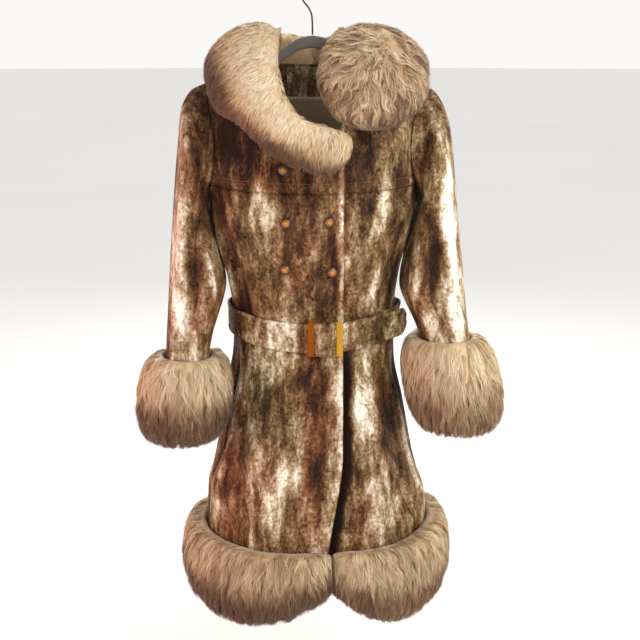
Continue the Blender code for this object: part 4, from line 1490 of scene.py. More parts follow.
# ---------------------------------------------------------------- cloth
@dataclass(frozen=True)
class CoatBody:
    """Yokes, fronts, back, neck facing and back lining."""

    form: BodyForm
    yoke_seam: float = -0.338
    cloth_hem: float = -1.070
    lining_foot: float = -0.975
    lining_thickness: float = 0.0010
    facing_top: float = -0.1395
    facing_foot: float = -0.192
    facing_half_angle: float = 12.5
    facing_gap: float = 0.0022
    lining_half_angle: float = 43.0
    lining_gap: float = 0.0034
    pleat_angle: float = 182.6
    crush: float = 0.0011
    edge_roll: float = 0.0015
    edge_width: float = 0.006
    seam_puff: float = 0.0010
    seam_half_gap: float = 0.00012
    yoke_crowd: float = 1.6

    def crushed_relief(self, angle: Array, height: Array) -> Array:
        """Crushed pile that fades to nothing where a seam holds the cloth down."""
        points = self.form.plain(angle, height)
        seams = 1 - 0.8 * np.exp(-((points[..., 2] - self.yoke_seam) / 0.004) ** 2)
        return self.crush * crushed(points, 3) * seams

    def puff(self, height: Array) -> Array:
        """Cloth stands up a little on each side of the yoke seam and dips into it."""
        off = np.abs(height - self.yoke_seam)
        dip = np.exp(-(off / 0.0025) ** 2)
        return self.seam_puff * (np.exp(-((off - 0.006) / 0.004) ** 2) - dip)

    def back_out(self, angle: Array, height: Array) -> Array:
        """Back: crushed, with the yoke seam's puff."""
        return self.crushed_relief(angle, height) + self.puff(height)

    def right_out(self, angle: Array, height: Array) -> Array:
        """Right front: over the left one, with a rolled free edge.

        Args:
            angle: degrees round the body.
            height: height on it.

        Returns:
            Distance off the body.
        """
        apart = self.form.lap_edge_x(height) - self.form.plain(angle, height)[..., 0]
        roll = self.edge_roll * np.exp(-((apart - self.edge_width) / self.edge_width) ** 2)
        tuck = -0.0010 * np.exp(-(apart / 0.002) ** 2)
        return self.form.lap_rise(angle, height) + self.back_out(angle, height) + roll + tuck

    def left_out(self, angle: Array, height: Array) -> Array:
        """Left front: smooth under the lap, and turned in there below the belt.

        Args:
            angle: degrees round the body.
            height: height on it.

        Returns:
            Distance off the body.
        """
        past_lap = self.form.plain(angle, height)[..., 0] - self.form.lap_edge_x(height)
        shown = smooth_step(-0.010, 0.012, past_lap)
        return self.form.slit_groove(angle, height) + self.back_out(angle, height) * shown

    def build(self, dresser: Dresser) -> None:
        """Make every cloth panel of the body.

        Args:
            dresser: takes the pieces.
        """
        form, gap = self.form, self.seam_half_gap
        yoke_foot, crowd = level(self.yoke_seam + gap), self.yoke_crowd
        yoke = form.front_neck, yoke_foot
        skirt = level(self.yoke_seam - gap), level(self.cloth_hem)
        right, left = form.side(-90, 1), form.side(90, -1)
        back = form.side(90, 1), form.side(270, -1)
        cuts = {
            "front_yoke_right": (*yoke, right, form.lap_edge, 34, 46, self.right_out, crowd),
            "front_yoke_left": (*yoke, form.underlap_edge, left, 34, 42, self.left_out, crowd),
            "back_yoke": (form.back_neck, yoke_foot, *back, 28, 64, self.back_out, crowd),
            "front_right": (*skirt, right, form.lap_edge, 100, 52, self.right_out),
            "front_left": (*skirt, form.underlap_edge, left, 100, 46, self.left_out),
            "back": (*skirt, *back, 84, 68, self.back_out),
        }
        for name, cut in cuts.items():
            panel = form.patch(*cut)
            dresser.add_cloth(name, panel.points, form.cloth, self.tone(name, panel))
        facing = form.patch(level(self.facing_top), level(self.facing_foot + gap),
                            plumb(180 - self.facing_half_angle),
                            plumb(180 + self.facing_half_angle), 16, 26, self.facing_out)
        dresser.add_cloth("neck_facing", facing.points, self.lining_thickness,
                          pile_tone(facing.points, 0 * facing.ridges, FACING_PILE))
        lining = form.patch(level(self.facing_foot - gap), level(self.lining_foot),
                            plumb(180 - self.lining_half_angle),
                            plumb(180 + self.lining_half_angle), 60, 34, self.lining_out)
        dresser.add_cloth("back_lining", lining.points, self.lining_thickness,
                          finish=LiningFinish(), slot=Slot.LINING)

    def tone(self, name: str, panel: Panel) -> Tone:
        """Tone of a panel's pile; the lap's rolled edge gets painted highlight and the slit beside
        it painted shade.

        Args:
            name: the panel's node.
            panel: its points and folds.

        Returns:
            The tone.
        """
        behind = name.startswith("back")
        tone = pile_tone(panel.points, panel.ridges, BACK_PILE if behind else FRONT_PILE)
        x, z = panel.points[..., 0], panel.points[..., 2]
        off = x - self.form.lap_edge_x(z)
        if name.endswith("yoke_right") or name == "front_right":
            # Painted highlight along the lap's rolled edge.
            edge = np.exp(-((off + 0.004) / 0.0045) ** 2)
            return Tone(tone.light * (1 - 0.6 * edge) + 0.9 * edge,
                        tone.red * (1 - edge) + 0.5 * edge)
        if name == "front_left":
            # Painted shade, near black, in the groove of the slit under the lap.
            slit = 1 - smooth_step(0.004, self.form.slit_width, off)
            slit = slit * self.form.below_slit(z)
            return Tone(tone.light * (1 - slit) - 3.2 * slit, tone.red * (1 - slit) + 0.6 * slit)
        return tone

    def facing_out(self, angle: Array, height: Array) -> Array:
        """Facing: inside the back."""
        return -self.form.cloth - self.facing_gap + 0.3 * self.crush * crushed(
            self.form.plain(angle, height), 5)

    def lining_out(self, angle: Array, height: Array) -> Array:
        """Lining: inside the back, with a pleat of ease down its middle."""
        pleat = -0.0016 * np.exp(-((angle - self.pleat_angle) / 0.9) ** 2)
        ripple = -0.0008 * (1 + np.sin(np.radians(angle * 9)))
        return -self.form.cloth - self.lining_gap + pleat + ripple


@dataclass(frozen=True)
class Sleeves:
    """Both sleeves as open tubes that follow the armholes at the top."""

    form: BodyForm
    rows: int = 84
    around: int = 52
    crush: float = 0.0010
    hole_gap: float = 0.00072
    leans_in: float = 0.0022
    squareness: float = 0.90

    def rings(self, table: Sequence[Ring], side: int) -> Panel:
        """Rings of one sleeve.

        Each is an oval between the sleeve's outer and inner edge, swollen by the folds; the first
        ones blend into the armhole.

        Args:
            table: the sleeve's rings.
            side: -1 on the wearer's right, 1 on the left.

        Returns:
            Rings down and points round, with the height of the folds.
        """
        form = self.form
        turn = np.linspace(0, 360, self.around, endpoint=False)[None, :]
        along = (np.linspace(0, 1, self.rows) ** 1.15)[:, None]
        edge = {name: column(table, "along", name, along) for name in Ring._fields}
        near = smooth_step(0.10, 0.26, along) * (1 - smooth_step(0.68, 0.80, along))
        edge["inner_x"] = edge["inner_x"] - side * self.leans_in * near
        swing, fore = np.cos(np.radians(turn)), np.sin(np.radians(turn))
        relief = np.zeros((self.rows, self.around))
        for fold in SLEEVE_FOLDS:
            t = (along - fold.top) / (fold.foot - fold.top)
            apart = (turn - fold.turn_top - (fold.turn_foot - fold.turn_top) * t + 180) % 360 - 180
            ends = smooth_step(0, 0.3, t) * (1 - smooth_step(0.7, 1, t))
            relief += fold.depth * np.exp(-(apart / fold.width) ** 2) * ends
        grow = 1 + relief / edge["depth"]
        x, z = ((edge[f"outer_{way}"] + edge[f"inner_{way}"]) / 2
                + (edge[f"outer_{way}"] - edge[f"inner_{way}"]) / 2 * swing * grow for way in "xz")
        y = edge["forward"] - edge["depth"] * bowed(fore, self.squareness) * grow
        rings = np.stack([x, y, z], axis=-1)
        height = ((form.shoulder_top + form.underarm) / 2
                  + (form.shoulder_top - form.underarm) / 2 * swing[0])
        spread = form.arm_spread(height) * np.sign(fore[0])
        hole = form.torso(side * (90 - spread), height)
        hole[:, 0] += side * self.hole_gap
        blend = (1 - smooth_step(0, 0.16, along))[..., None]
        rings = rings * (1 - blend) + (hole[None] + rings - rings[:1]) * blend
        middle = rings.mean(axis=1, keepdims=True)
        fade = smooth_step(0.0, 0.05, along)
        crush = self.crush * crushed(rings, 9) * fade
        return Panel(rings + unit(rings - middle) * crush[..., None], relief + 0.5 * crush)

    def build(self, dresser: Dresser) -> None:
        """Make both sleeves. The pile is calmer behind, and darker there with painted shade.

        Args:
            dresser: takes the pieces.
        """
        sleeves = {"sleeve_right": (SLEEVE_RIGHT, -1), "sleeve_left": (SLEEVE_LEFT, 1)}
        for name, (table, side) in sleeves.items():
            panel = Panel(*(grid[:, ::-side] for grid in self.rings(table, side)))
            tone = pile_tone(panel.points, panel.ridges, SLEEVE_PILE)
            # Painted shade on each sleeve's back half, where the pile is also calmer.
            behind = smooth_step(-0.06, 0.01, panel.points[..., 1])
            tone = tone._replace(light=tone.light * (1 - 0.5 * behind) - 0.2 * behind)
            dresser.add_cloth(name, panel.points, self.form.cloth, tone, wraps=True)


@dataclass(frozen=True)
class Belt:
    """The belt: one strip round the waist, through the buckle and on to its pointed tail."""

    form: BodyForm
    width: float = 0.055
    thickness: float = 0.0025
    clear: float = 0.0060
    layer_gap: float = 0.0005
    start: float = 12.0
    meets: float = 346.0
    double: float = 364.0
    tail_from: float = 382.0
    free: float = 406.0
    tip: float = 438.0
    crease: float = 0.0012
    tail_stands: float = 0.014
    tail_point: float = 9.0
    side_stands: float = 0.004
    side_angle: float = 84.0
    side_width: float = 12.0
    edge_fold: float = 0.0012
    bulge: float = 0.0074
    bulge_angle: float = 367.2
    bulge_width: float = 5.9
    edges: int = 19

    def strip(self) -> Panel:
        """Grid of the strip: edge runs from 1 at the top to -1 at the foot, along round the body.

        Between the buckle's bars the strap bulges out by bulge exp(-(angle / width)^4).

        Returns:
            The points, with the height of the folds at each.
        """
        along = np.concatenate([np.linspace(self.start, self.meets, 150, endpoint=False),
                                np.linspace(self.meets, self.tail_from, 70, endpoint=False),
                                np.linspace(self.tail_from, self.tip, 60)])[None, :]
        edge = np.linspace(1, -1, self.edges)[:, None]
        second = (self.thickness + 2 * self.layer_gap + self.crease) * smooth_step(
            self.meets, self.double, along)
        side = self.side_stands * np.exp(-((along - self.side_angle) / self.side_width) ** 2)
        tail = self.tail_stands * smooth_step(self.free, self.tip, along)
        point = np.clip((along - self.tip) / self.tail_point + 1, 0, 1)
        between = np.exp(-((along - self.bulge_angle) / self.bulge_width) ** 4)
        across = edge * (1 - 0.75 * point ** 1.6) * (1 + 0.24 * between)
        crease = self.crease * np.sin(np.radians(along * 7)) * (1 - across ** 2)
        rolled = self.edge_fold * np.exp(-((np.abs(edge) - 0.84) / 0.09) ** 2)
        height = self.form.waist + across * self.width / 2
        angle = along + 0 * edge
        wrinkle = 0.0008 * crushed(self.form.plain(angle, height), 21)
        out = self.clear + self.thickness + second + side + tail + crease + rolled + wrinkle
        out = out + self.bulge * between * (1 - 0.25 * edge ** 4)
        # The rolled edges, creases and wrinkles go to pile_tone as fold heights, for its painted
        # highlight and shade.
        return Panel(self.form.torso(angle, height, out), 2.0 * rolled + 1.5 * crease + wrinkle)

    def build(self, dresser: Dresser) -> None:
        """Make the belt.

        Args:
            dresser: takes the piece.
        """
        panel = self.strip()
        dresser.add_cloth("belt", panel.points, self.thickness,
                          pile_tone(panel.points, panel.ridges, BELT_PILE))


# ---------------------------------------------------------------- fur
class FurPatch(NamedTuple):
    """A place where the fur is lighter or darker, mostly painted highlight and shade, and more or
    less ruffled.
    """

    x: float
    height: float
    half_width: float
    half_height: float
    light: float
    ruffle: float


@dataclass(frozen=True)
class FurStyle:
    """How the fur of one piece grows and lies.

    shade runs from 0, dark brown, to 1, cream. overrun is how many cells of the form a strand may
    pass beyond its open end.
    """

    strands: int
    locks: int
    length: float
    seed: int
    width: float = 0.0008
    spread: float = 0.009
    clump: float = 0.66
    wave: float = 0.35
    wave_length: float = 0.030
    stray: float = 0.20
    sunk: float = 0.008
    flare: float = 0.003
    shade: float = 0.56
    # How much the form's painted shade darkens the strands and the undercoat.
    painted_shade_weight: float = 0.45
    mottle: float = 1.0
    segments: int = 4
    overrun: float = 3.0
    patches: tuple[FurPatch, ...] = ()


class Growth(NamedTuple):
    """How thickly the fur grows, how much painted shade darkens it and how deep its undercoat lies,
    each 0 to 1.
    """

    cover: Array
    dark: Array
    deep: Array


def ring_growth(wall: Array, painted_shade_from: float, painted_shade_to: float) -> Growth:
    """Growth round the section of a fur band, from the angle round it.

    The fur is thin towards the cloth, thick right up to it at the top, and darkest at the foot with
    painted shade.

    Args:
        wall: angle round the section: 0 outside, a quarter turn at the top, half inside.
        painted_shade_from: share of the height, from the top, where the fur begins to darken.
        painted_shade_to: share where it is darkest.

    Returns:
        The growth.
    """
    out, up = np.cos(wall), np.sin(wall)
    cover = np.where(up > 0, 0.05 + 0.95 * smooth_step(-0.99, -0.75, out),
                     0.12 + 0.88 * smooth_step(-0.9, -0.2, out))
    # The dark share is painted shade, deepest at the foot of the section.
    return Growth(cover, smooth_step(painted_shade_from, painted_shade_to, (1 - up) / 2), smooth_step(-0.7, 0.1, out))


def high_inside(wall: Array) -> Array:
    """Height round a fur band's section, -1 to 1, kept up in the quarter between top and cloth."""
    up = np.sin(wall)
    return np.where((np.cos(wall) < 0) & (up > 0), np.maximum(up, 0) ** 0.35, up)


def outwards(wall: Array, level_part: float, top_part: float) -> Array:
    """How far a fur band's fur is combed out; beside the cloth at the top it is combed onto it."""
    inside = smooth_step(0.35, 0.75, -np.cos(wall)) * (np.sin(wall) > 0)
    return (level_part + top_part * np.sin(wall)) * (1 - inside) - 0.8 * inside


class FurForm:
    """A closed form that fur covers, as a grid with wrapped columns, and how it is combed."""

    def __init__(self, surface: Array, comb: Array, growth: Growth, ring: bool,
                 sunk: float) -> None:
        """Work out the form's fields.

        Args:
            surface: grid of points at the fur's full reach; columns go round each section.
            comb: direction in which the fur lies at each point.
            growth: how the fur grows at each point, or at each column.
            ring: the last section meets the first.
            sunk: how deep the undercoat lies under the fur's reach.
        """
        self.ring = ring
        self.count, self.size = surface.shape[:2]
        centre = surface.mean(axis=1, keepdims=True)
        cover, dark, deep = (np.broadcast_to(part, surface.shape[:2]) for part in growth)
        self.inner = surface + (self._drawn_in(surface, sunk) - surface) * deep[..., None]
        along, round_it = self._rates(surface)
        normal = unit(np.cross(along, round_it))
        self.turned = bool(np.mean(dot(normal, surface - centre)) < 0)
        normal = -normal if self.turned else normal
        comb = unit(comb)
        self.cover = cover
        self.fields = np.concatenate([self.inner, surface, normal, along, round_it, comb,
                                      dark[..., None]], axis=-1)

    @staticmethod
    def _drawn_in(surface: Array, depth: float) -> Array:
        """The sections made smaller along their two main directions, half way at most.

        Args:
            surface: the sections.
            depth: how far they are drawn in.

        Returns:
            The smaller sections.
        """
        centre = surface.mean(axis=1, keepdims=True)
        ways = np.linalg.svd(surface - centre, full_matrices=False)[2]
        spots = (surface - centre) @ ways.transpose(0, 2, 1)
        half = np.maximum(np.abs(spots).max(axis=1, keepdims=True), 1e-6)
        share = 1 - np.minimum(depth, 0.5 * half[..., 1:2]) / half
        share[..., 2] = 1
        return centre + (spots * share) @ ways

    def _rates(self, surface: Array) -> tuple[Array, Array]:
        """Rates of change of the surface along and round it, for a step of one grid cell.

        Args:
            surface: the sections.

        Returns:
            The rate along and the rate round.
        """
        if self.ring:
            along = (np.roll(surface, -1, axis=0) - np.roll(surface, 1, axis=0)) / 2
        else:
            along = np.gradient(surface, axis=0)
        return along, (np.roll(surface, -1, axis=1) - np.roll(surface, 1, axis=1)) / 2

    def read(self, i: Array, j: Array) -> tuple[Array, ...]:
        """Fields at places between the grid's points, blended from the four around each.

        Past an open end the surface runs straight on.

        Args:
            i: place along the form, in cells.
            j: place round it, in cells.

        Returns:
            Undercoat point, outer point, normal, rate along, rate round, comb and painted shade.
        """
        top = self.count if self.ring else self.count - 1
        held = i % top if self.ring else np.clip(i, 0, top - 1e-6)
        i0, j0 = np.floor(held).astype(int), np.floor(j).astype(int)
        a, b = (held - i0)[..., None], (j - j0)[..., None]
        i1 = (i0 + 1) % self.count if self.ring else np.minimum(i0 + 1, self.count - 1)
        j0, j1 = j0 % self.size, (j0 + 1) % self.size
        near = self.fields[i0, j0] * (1 - b) + self.fields[i0, j1] * b
        far = self.fields[i1, j0] * (1 - b) + self.fields[i1, j1] * b
        read = np.split(near * (1 - a) + far * a, range(3, 19, 3), axis=-1)
        inner, outer, normal, along, round_it, comb, dark = read
        if not self.ring:
            past = (i - held)[..., None] * along
            inner, outer = inner + past, outer + past
        return inner, outer, unit(normal), along, round_it, comb, dark[..., 0]

    def scatter(self, number: int, rng: np.random.Generator) -> tuple[Array, Array]:
        """Random places, as many to an area as the cover asks.

        Args:
            number: how many.
            rng: source of the places.

        Returns:
            Places along and round the form, in cells.
        """
        sizes = np.linalg.norm(np.cross(self.fields[..., 9:12], self.fields[..., 12:15]), axis=-1)
        weight = (sizes * self.cover).ravel()
        cell = rng.choice(len(weight), number, p=weight / weight.sum())
        i = cell // self.size + rng.random(number) - 0.5
        if not self.ring:
            i = np.clip(i, 0, self.count - 1.001)
        return i, cell % self.size + rng.random(number) - 0.5


@dataclass(frozen=True)
class Fur:
    """Grows an undercoat and strands on a form."""

    style: FurStyle
    steps: int = 12
    softness: float = 0.88

    def lock_paths(self, form: FurForm, i: Array, j: Array,
                   rng: np.random.Generator) -> tuple[Array, Array]:
        """Middle lines of the locks, stepped over the surface along the comb.

        Each step goes along the comb turned by the lock's own lean and by a wave
        lean + wave sin(2 pi (s / wave length + phase)).

        Args:
            form: the form that the locks lie on.
            i: root places along the form.
            j: root places round it.
            rng: source of the leans and waves.

        Returns:
            Places along and round at each step.
        """
        style, number = self.style, len(i)
        _, ruffle = self.patched(form.read(i, j)[1])
        lean = rng.normal(0, style.stray, number) * (1 + ruffle)
        phase = rng.random(number)
        swing = style.wave * rng.uniform(0.5, 1.4, number)
        length = style.length * rng.uniform(0.72, 1.15, number)
        path_i, path_j = [i], [j]
        for k in range(self.steps):
            _, _, normal, along, round_it, comb, _ = form.read(path_i[-1], path_j[-1])
            flat = comb - normal * dot(comb, normal)
            size = np.linalg.norm(flat, axis=-1, keepdims=True)
            flat = flat / np.maximum(size, 0.25)
            travelled = length * k / self.steps
            wave = np.sin(2 * math.pi * (travelled / style.wave_length + phase))
            turn = (lean + swing * wave)[:, None]
            ahead = flat * np.cos(turn) + np.cross(normal, flat) * np.sin(turn)
            ahead = ahead * (length / self.steps)[:, None]
            aa, bb, ab = dot(along, along), dot(round_it, round_it), dot(along, round_it)
            pa, pb = dot(ahead, along), dot(ahead, round_it)
            scale = np.maximum(aa * bb - ab * ab, 1e-14)
            path_i.append(path_i[-1] + np.clip((pa * bb - pb * ab) / scale, -3, 3)[:, 0])
            path_j.append(path_j[-1] + np.clip((pb * aa - pa * ab) / scale, -3, 3)[:, 0])
        return np.stack(path_i, axis=-1), np.stack(path_j, axis=-1)

    def patched(self, points: Array) -> tuple[Array, Array]:
        """Painted highlight and shade, and ruffling, that the style's patches give in front, as
        soft bells.

        Args:
            points: places on the fur.

        Returns:
            Lightness and ruffling at each.
        """
        light, ruffle = np.zeros(points.shape[:-1]), np.zeros(points.shape[:-1])
        for patch in self.style.patches:
            bell = np.exp(-((points[..., 0] - patch.x) / patch.half_width) ** 2
                          - ((points[..., 2] - patch.height) / patch.half_height) ** 2)
            bell = bell * (points[..., 1] < 0)
            light, ruffle = light + patch.light * bell, ruffle + patch.ruffle * bell
        return light, ruffle

    def strands(self, form: FurForm) -> tuple[Array, list[Array], Array, Array]:
        """Tapered ribbons in locks.

        A strand starts beside its lock's middle line and draws in towards it; its height goes from
        the undercoat to the fur's reach as 1 - (1 - t)^2, and its half width falls as 1 - t^2.

        Args:
            form: the form that the fur covers.

        Returns:
            Vertices, faces, the map of shade and root-to-tip place, and normals, by vertex.
        """
        style = self.style
        rng = np.random.default_rng(style.seed)
        lock_i, lock_j = form.scatter(style.locks, rng)
        path_i, path_j = self.lock_paths(form, lock_i, lock_j, rng)
        lock = rng.integers(0, style.locks, style.strands)
        reach = rng.uniform(0.62, 1.0, style.strands)
        t = np.linspace(0, 1, style.segments + 1)[None, :] * np.ones((style.strands, 1))
        at = t * reach[:, None] * self.steps
        low = np.clip(np.floor(at).astype(int), 0, self.steps - 1)
        part = at - low
        rows = lock[:, None]
        i = path_i[rows, low] * (1 - part) + path_i[rows, low + 1] * part
        j = path_j[rows, low] * (1 - part) + path_j[rows, low + 1] * part
        along, round_it = form.read(path_i[lock, 0], path_j[lock, 0])[3:5]
        place = style.spread * np.sqrt(rng.random(style.strands))
        side = rng.uniform(0, 2 * math.pi, style.strands)
        drawn_in = 1 - style.clump * t ** 0.8
        beside_i = (place * np.cos(side)) / np.maximum(np.linalg.norm(along, axis=-1), 1e-4)
        beside_j = (place * np.sin(side)) / np.maximum(np.linalg.norm(round_it, axis=-1), 1e-4)
        i = i + beside_i[:, None] * drawn_in
        j = j + beside_j[:, None] * drawn_in
        if not form.ring:
            i = np.clip(i, -style.overrun, form.count - 1 + style.overrun)
        inner, outer, normal, *_, dark = form.read(i, j)
        top = rng.uniform(0.78, 1.04, (style.strands, 1, 1))
        rise = top * (1 - (1 - t[..., None]) ** 2)
        _, ruffle = self.patched(outer[:, 0])
        flare = style.flare * rng.uniform(-0.5, 1.0, (style.strands, 1, 1)) * t[..., None] ** 2
        flare = flare * (1 + 0.8 * ruffle[:, None, None] + 0.9 * dark[..., None])
        middle = inner + (outer - inner) * rise + normal * flare
        ahead = unit(np.gradient(middle, axis=1))
        flat_way = unit(np.cross(ahead, normal))
        roll = rng.uniform(-0.9, 0.9, (style.strands, 1, 1))
        across = flat_way * np.cos(roll) + normal * np.sin(roll)
        half = style.width / 2 * rng.uniform(0.7, 1.3, (style.strands, 1, 1))
        half = half * (1 - 0.8 * t[..., None] ** 2)
        left, right = middle - across * half, middle + across * half
        body = np.stack([left[:, :-1], right[:, :-1]], axis=2).reshape(style.strands, -1, 3)
        points = np.concatenate([body, middle[:, -1:]], axis=1)
        first = (np.arange(style.strands) * points.shape[1])[:, None]
        pair = 2 * np.arange(style.segments - 1)[None, :]
        quads = np.stack([first + pair + corner for corner in (0, 1, 3, 2)], axis=-1)
        last = first[:, 0] + 2 * (style.segments - 1)
        tips = np.stack([last, last + 1, last + 2], axis=-1)
        # Painted shade: the strands darken where the form's growth is dark.
        shade = self.shade_of(outer[:, 0], lock, rng)[:, None] - style.painted_shade_weight * dark
        edge = 0.002 * np.array([-1, 1] * style.segments + [0])[None, :]
        shade = np.clip(self.doubled(shade), 0.01, 0.99) + edge
        maps = np.stack([shade, 0.03 + 0.94 * self.doubled(t)], axis=-1)
        own_way = unit(np.cross(across, ahead))
        soft = self.doubled(unit(self.softness * normal + (1 - self.softness) * own_way))
        return (points.reshape(-1, 3), [quads.reshape(-1, 4), tips], maps.reshape(-1, 2),
                soft.reshape(-1, 3))

    @staticmethod
    def doubled(values: Array) -> Array:
        """Values along strands for both sides of each ribbon and once for its tip."""
        return np.concatenate([np.repeat(values[:, :-1], 2, axis=1), values[:, -1:]], axis=1)

    def shade_of(self, roots: Array, lock: Array, rng: np.random.Generator) -> Array:
        """Shade of each strand: slow and quick noise over the form, its lock's own and its own,
        with the patches' painted highlight and shade.

        Args:
            roots: where the strands grow.
            lock: each strand's lock.
            rng: source of the shades.

        Returns:
            The shades.
        """
        slow = lattice_noise(roots / 0.055, self.style.seed)
        quick = lattice_noise(roots / 0.016, self.style.seed + 1)
        own_lock = rng.normal(0, 0.07, self.style.locks)[lock]
        light, _ = self.patched(roots)
        own = rng.normal(0, 0.09, len(roots))
        mottled = 0.08 * slow + 0.07 * quick + own_lock + own
        return self.style.shade + light + self.style.mottle * mottled

    def undercoat(self, form: FurForm) -> tuple[Array, list[Array], Array, Array]:
        """The dense short fur under the strands: the form's inner surface with its ends closed.

        Args:
            form: the form that the fur covers.

        Returns:
            Vertices, faces, the map of shade and root-to-tip place, and normals, by vertex.
        """
        normals = unit(form.fields[..., 6:9]).reshape(-1, 3)
        points = form.inner.reshape(-1, 3)
        rough = lattice_noise(points / 0.008, self.style.seed + 5)[:, None]
        points = points + normals * (0.0010 * rough)
        faces = [grid_faces(form.count, form.size, wrap_rows=form.ring, wrap_columns=True)]
        dark = form.fields[..., 18].ravel()
        # The undercoat takes the same painted shade.
        tone = self.style.shade - 0.08 - self.style.painted_shade_weight * dark
        tone = tone + 0.08 * lattice_noise(points / 0.02, self.style.seed + 6)
        place = 0.45 + 0.10 * lattice_noise(points / 0.006, self.style.seed + 7)
        maps = np.stack([np.clip(tone, 0.01, 0.99), place], axis=-1)
        if not form.ring:
            ends = form.inner[[0, -1]].mean(axis=1)
            faces.append(end_fans(form.count, form.size, len(points)))
            points = np.concatenate([points, ends])
            maps = np.concatenate([maps, [[self.style.shade - 0.08, 0.45]] * 2])
            normals = np.concatenate([normals, unit(ends - form.inner[[1, -2]].mean(axis=1))])
        if form.turned:
            faces = [group[:, ::-1] for group in faces]
        return points, faces, maps, normals

    def build(self, dresser: Dresser, name: str, form: FurForm) -> bpy.types.Object:
        """One joined piece of undercoat and strands.

        Args:
            dresser: takes the piece.
            name: the solid it stands for, whose name it takes.
            form: the form that the fur covers.

        Returns:
            The piece's object.
        """
        base, base_faces, base_maps, base_normals = self.undercoat(form)
        hairs, hair_faces, hair_maps, hair_normals = self.strands(form)
        shifted = [group + len(base) for group in hair_faces]
        mesh = make_mesh(f"{name}_fur", np.concatenate([base, hairs]), [*base_faces, *shifted])
        maps = np.concatenate([base_maps, hair_maps])
        corner_map(mesh, FurFinish.strand_map, maps)
        corner_map(mesh, "OFBake", maps)
        lend_normals(mesh, np.concatenate([base_normals, hair_normals]))
        piece = dresser.add(f"{name}_fur", mesh, FurFinish(), Slot.LONG_FUR, [name])
        return piece


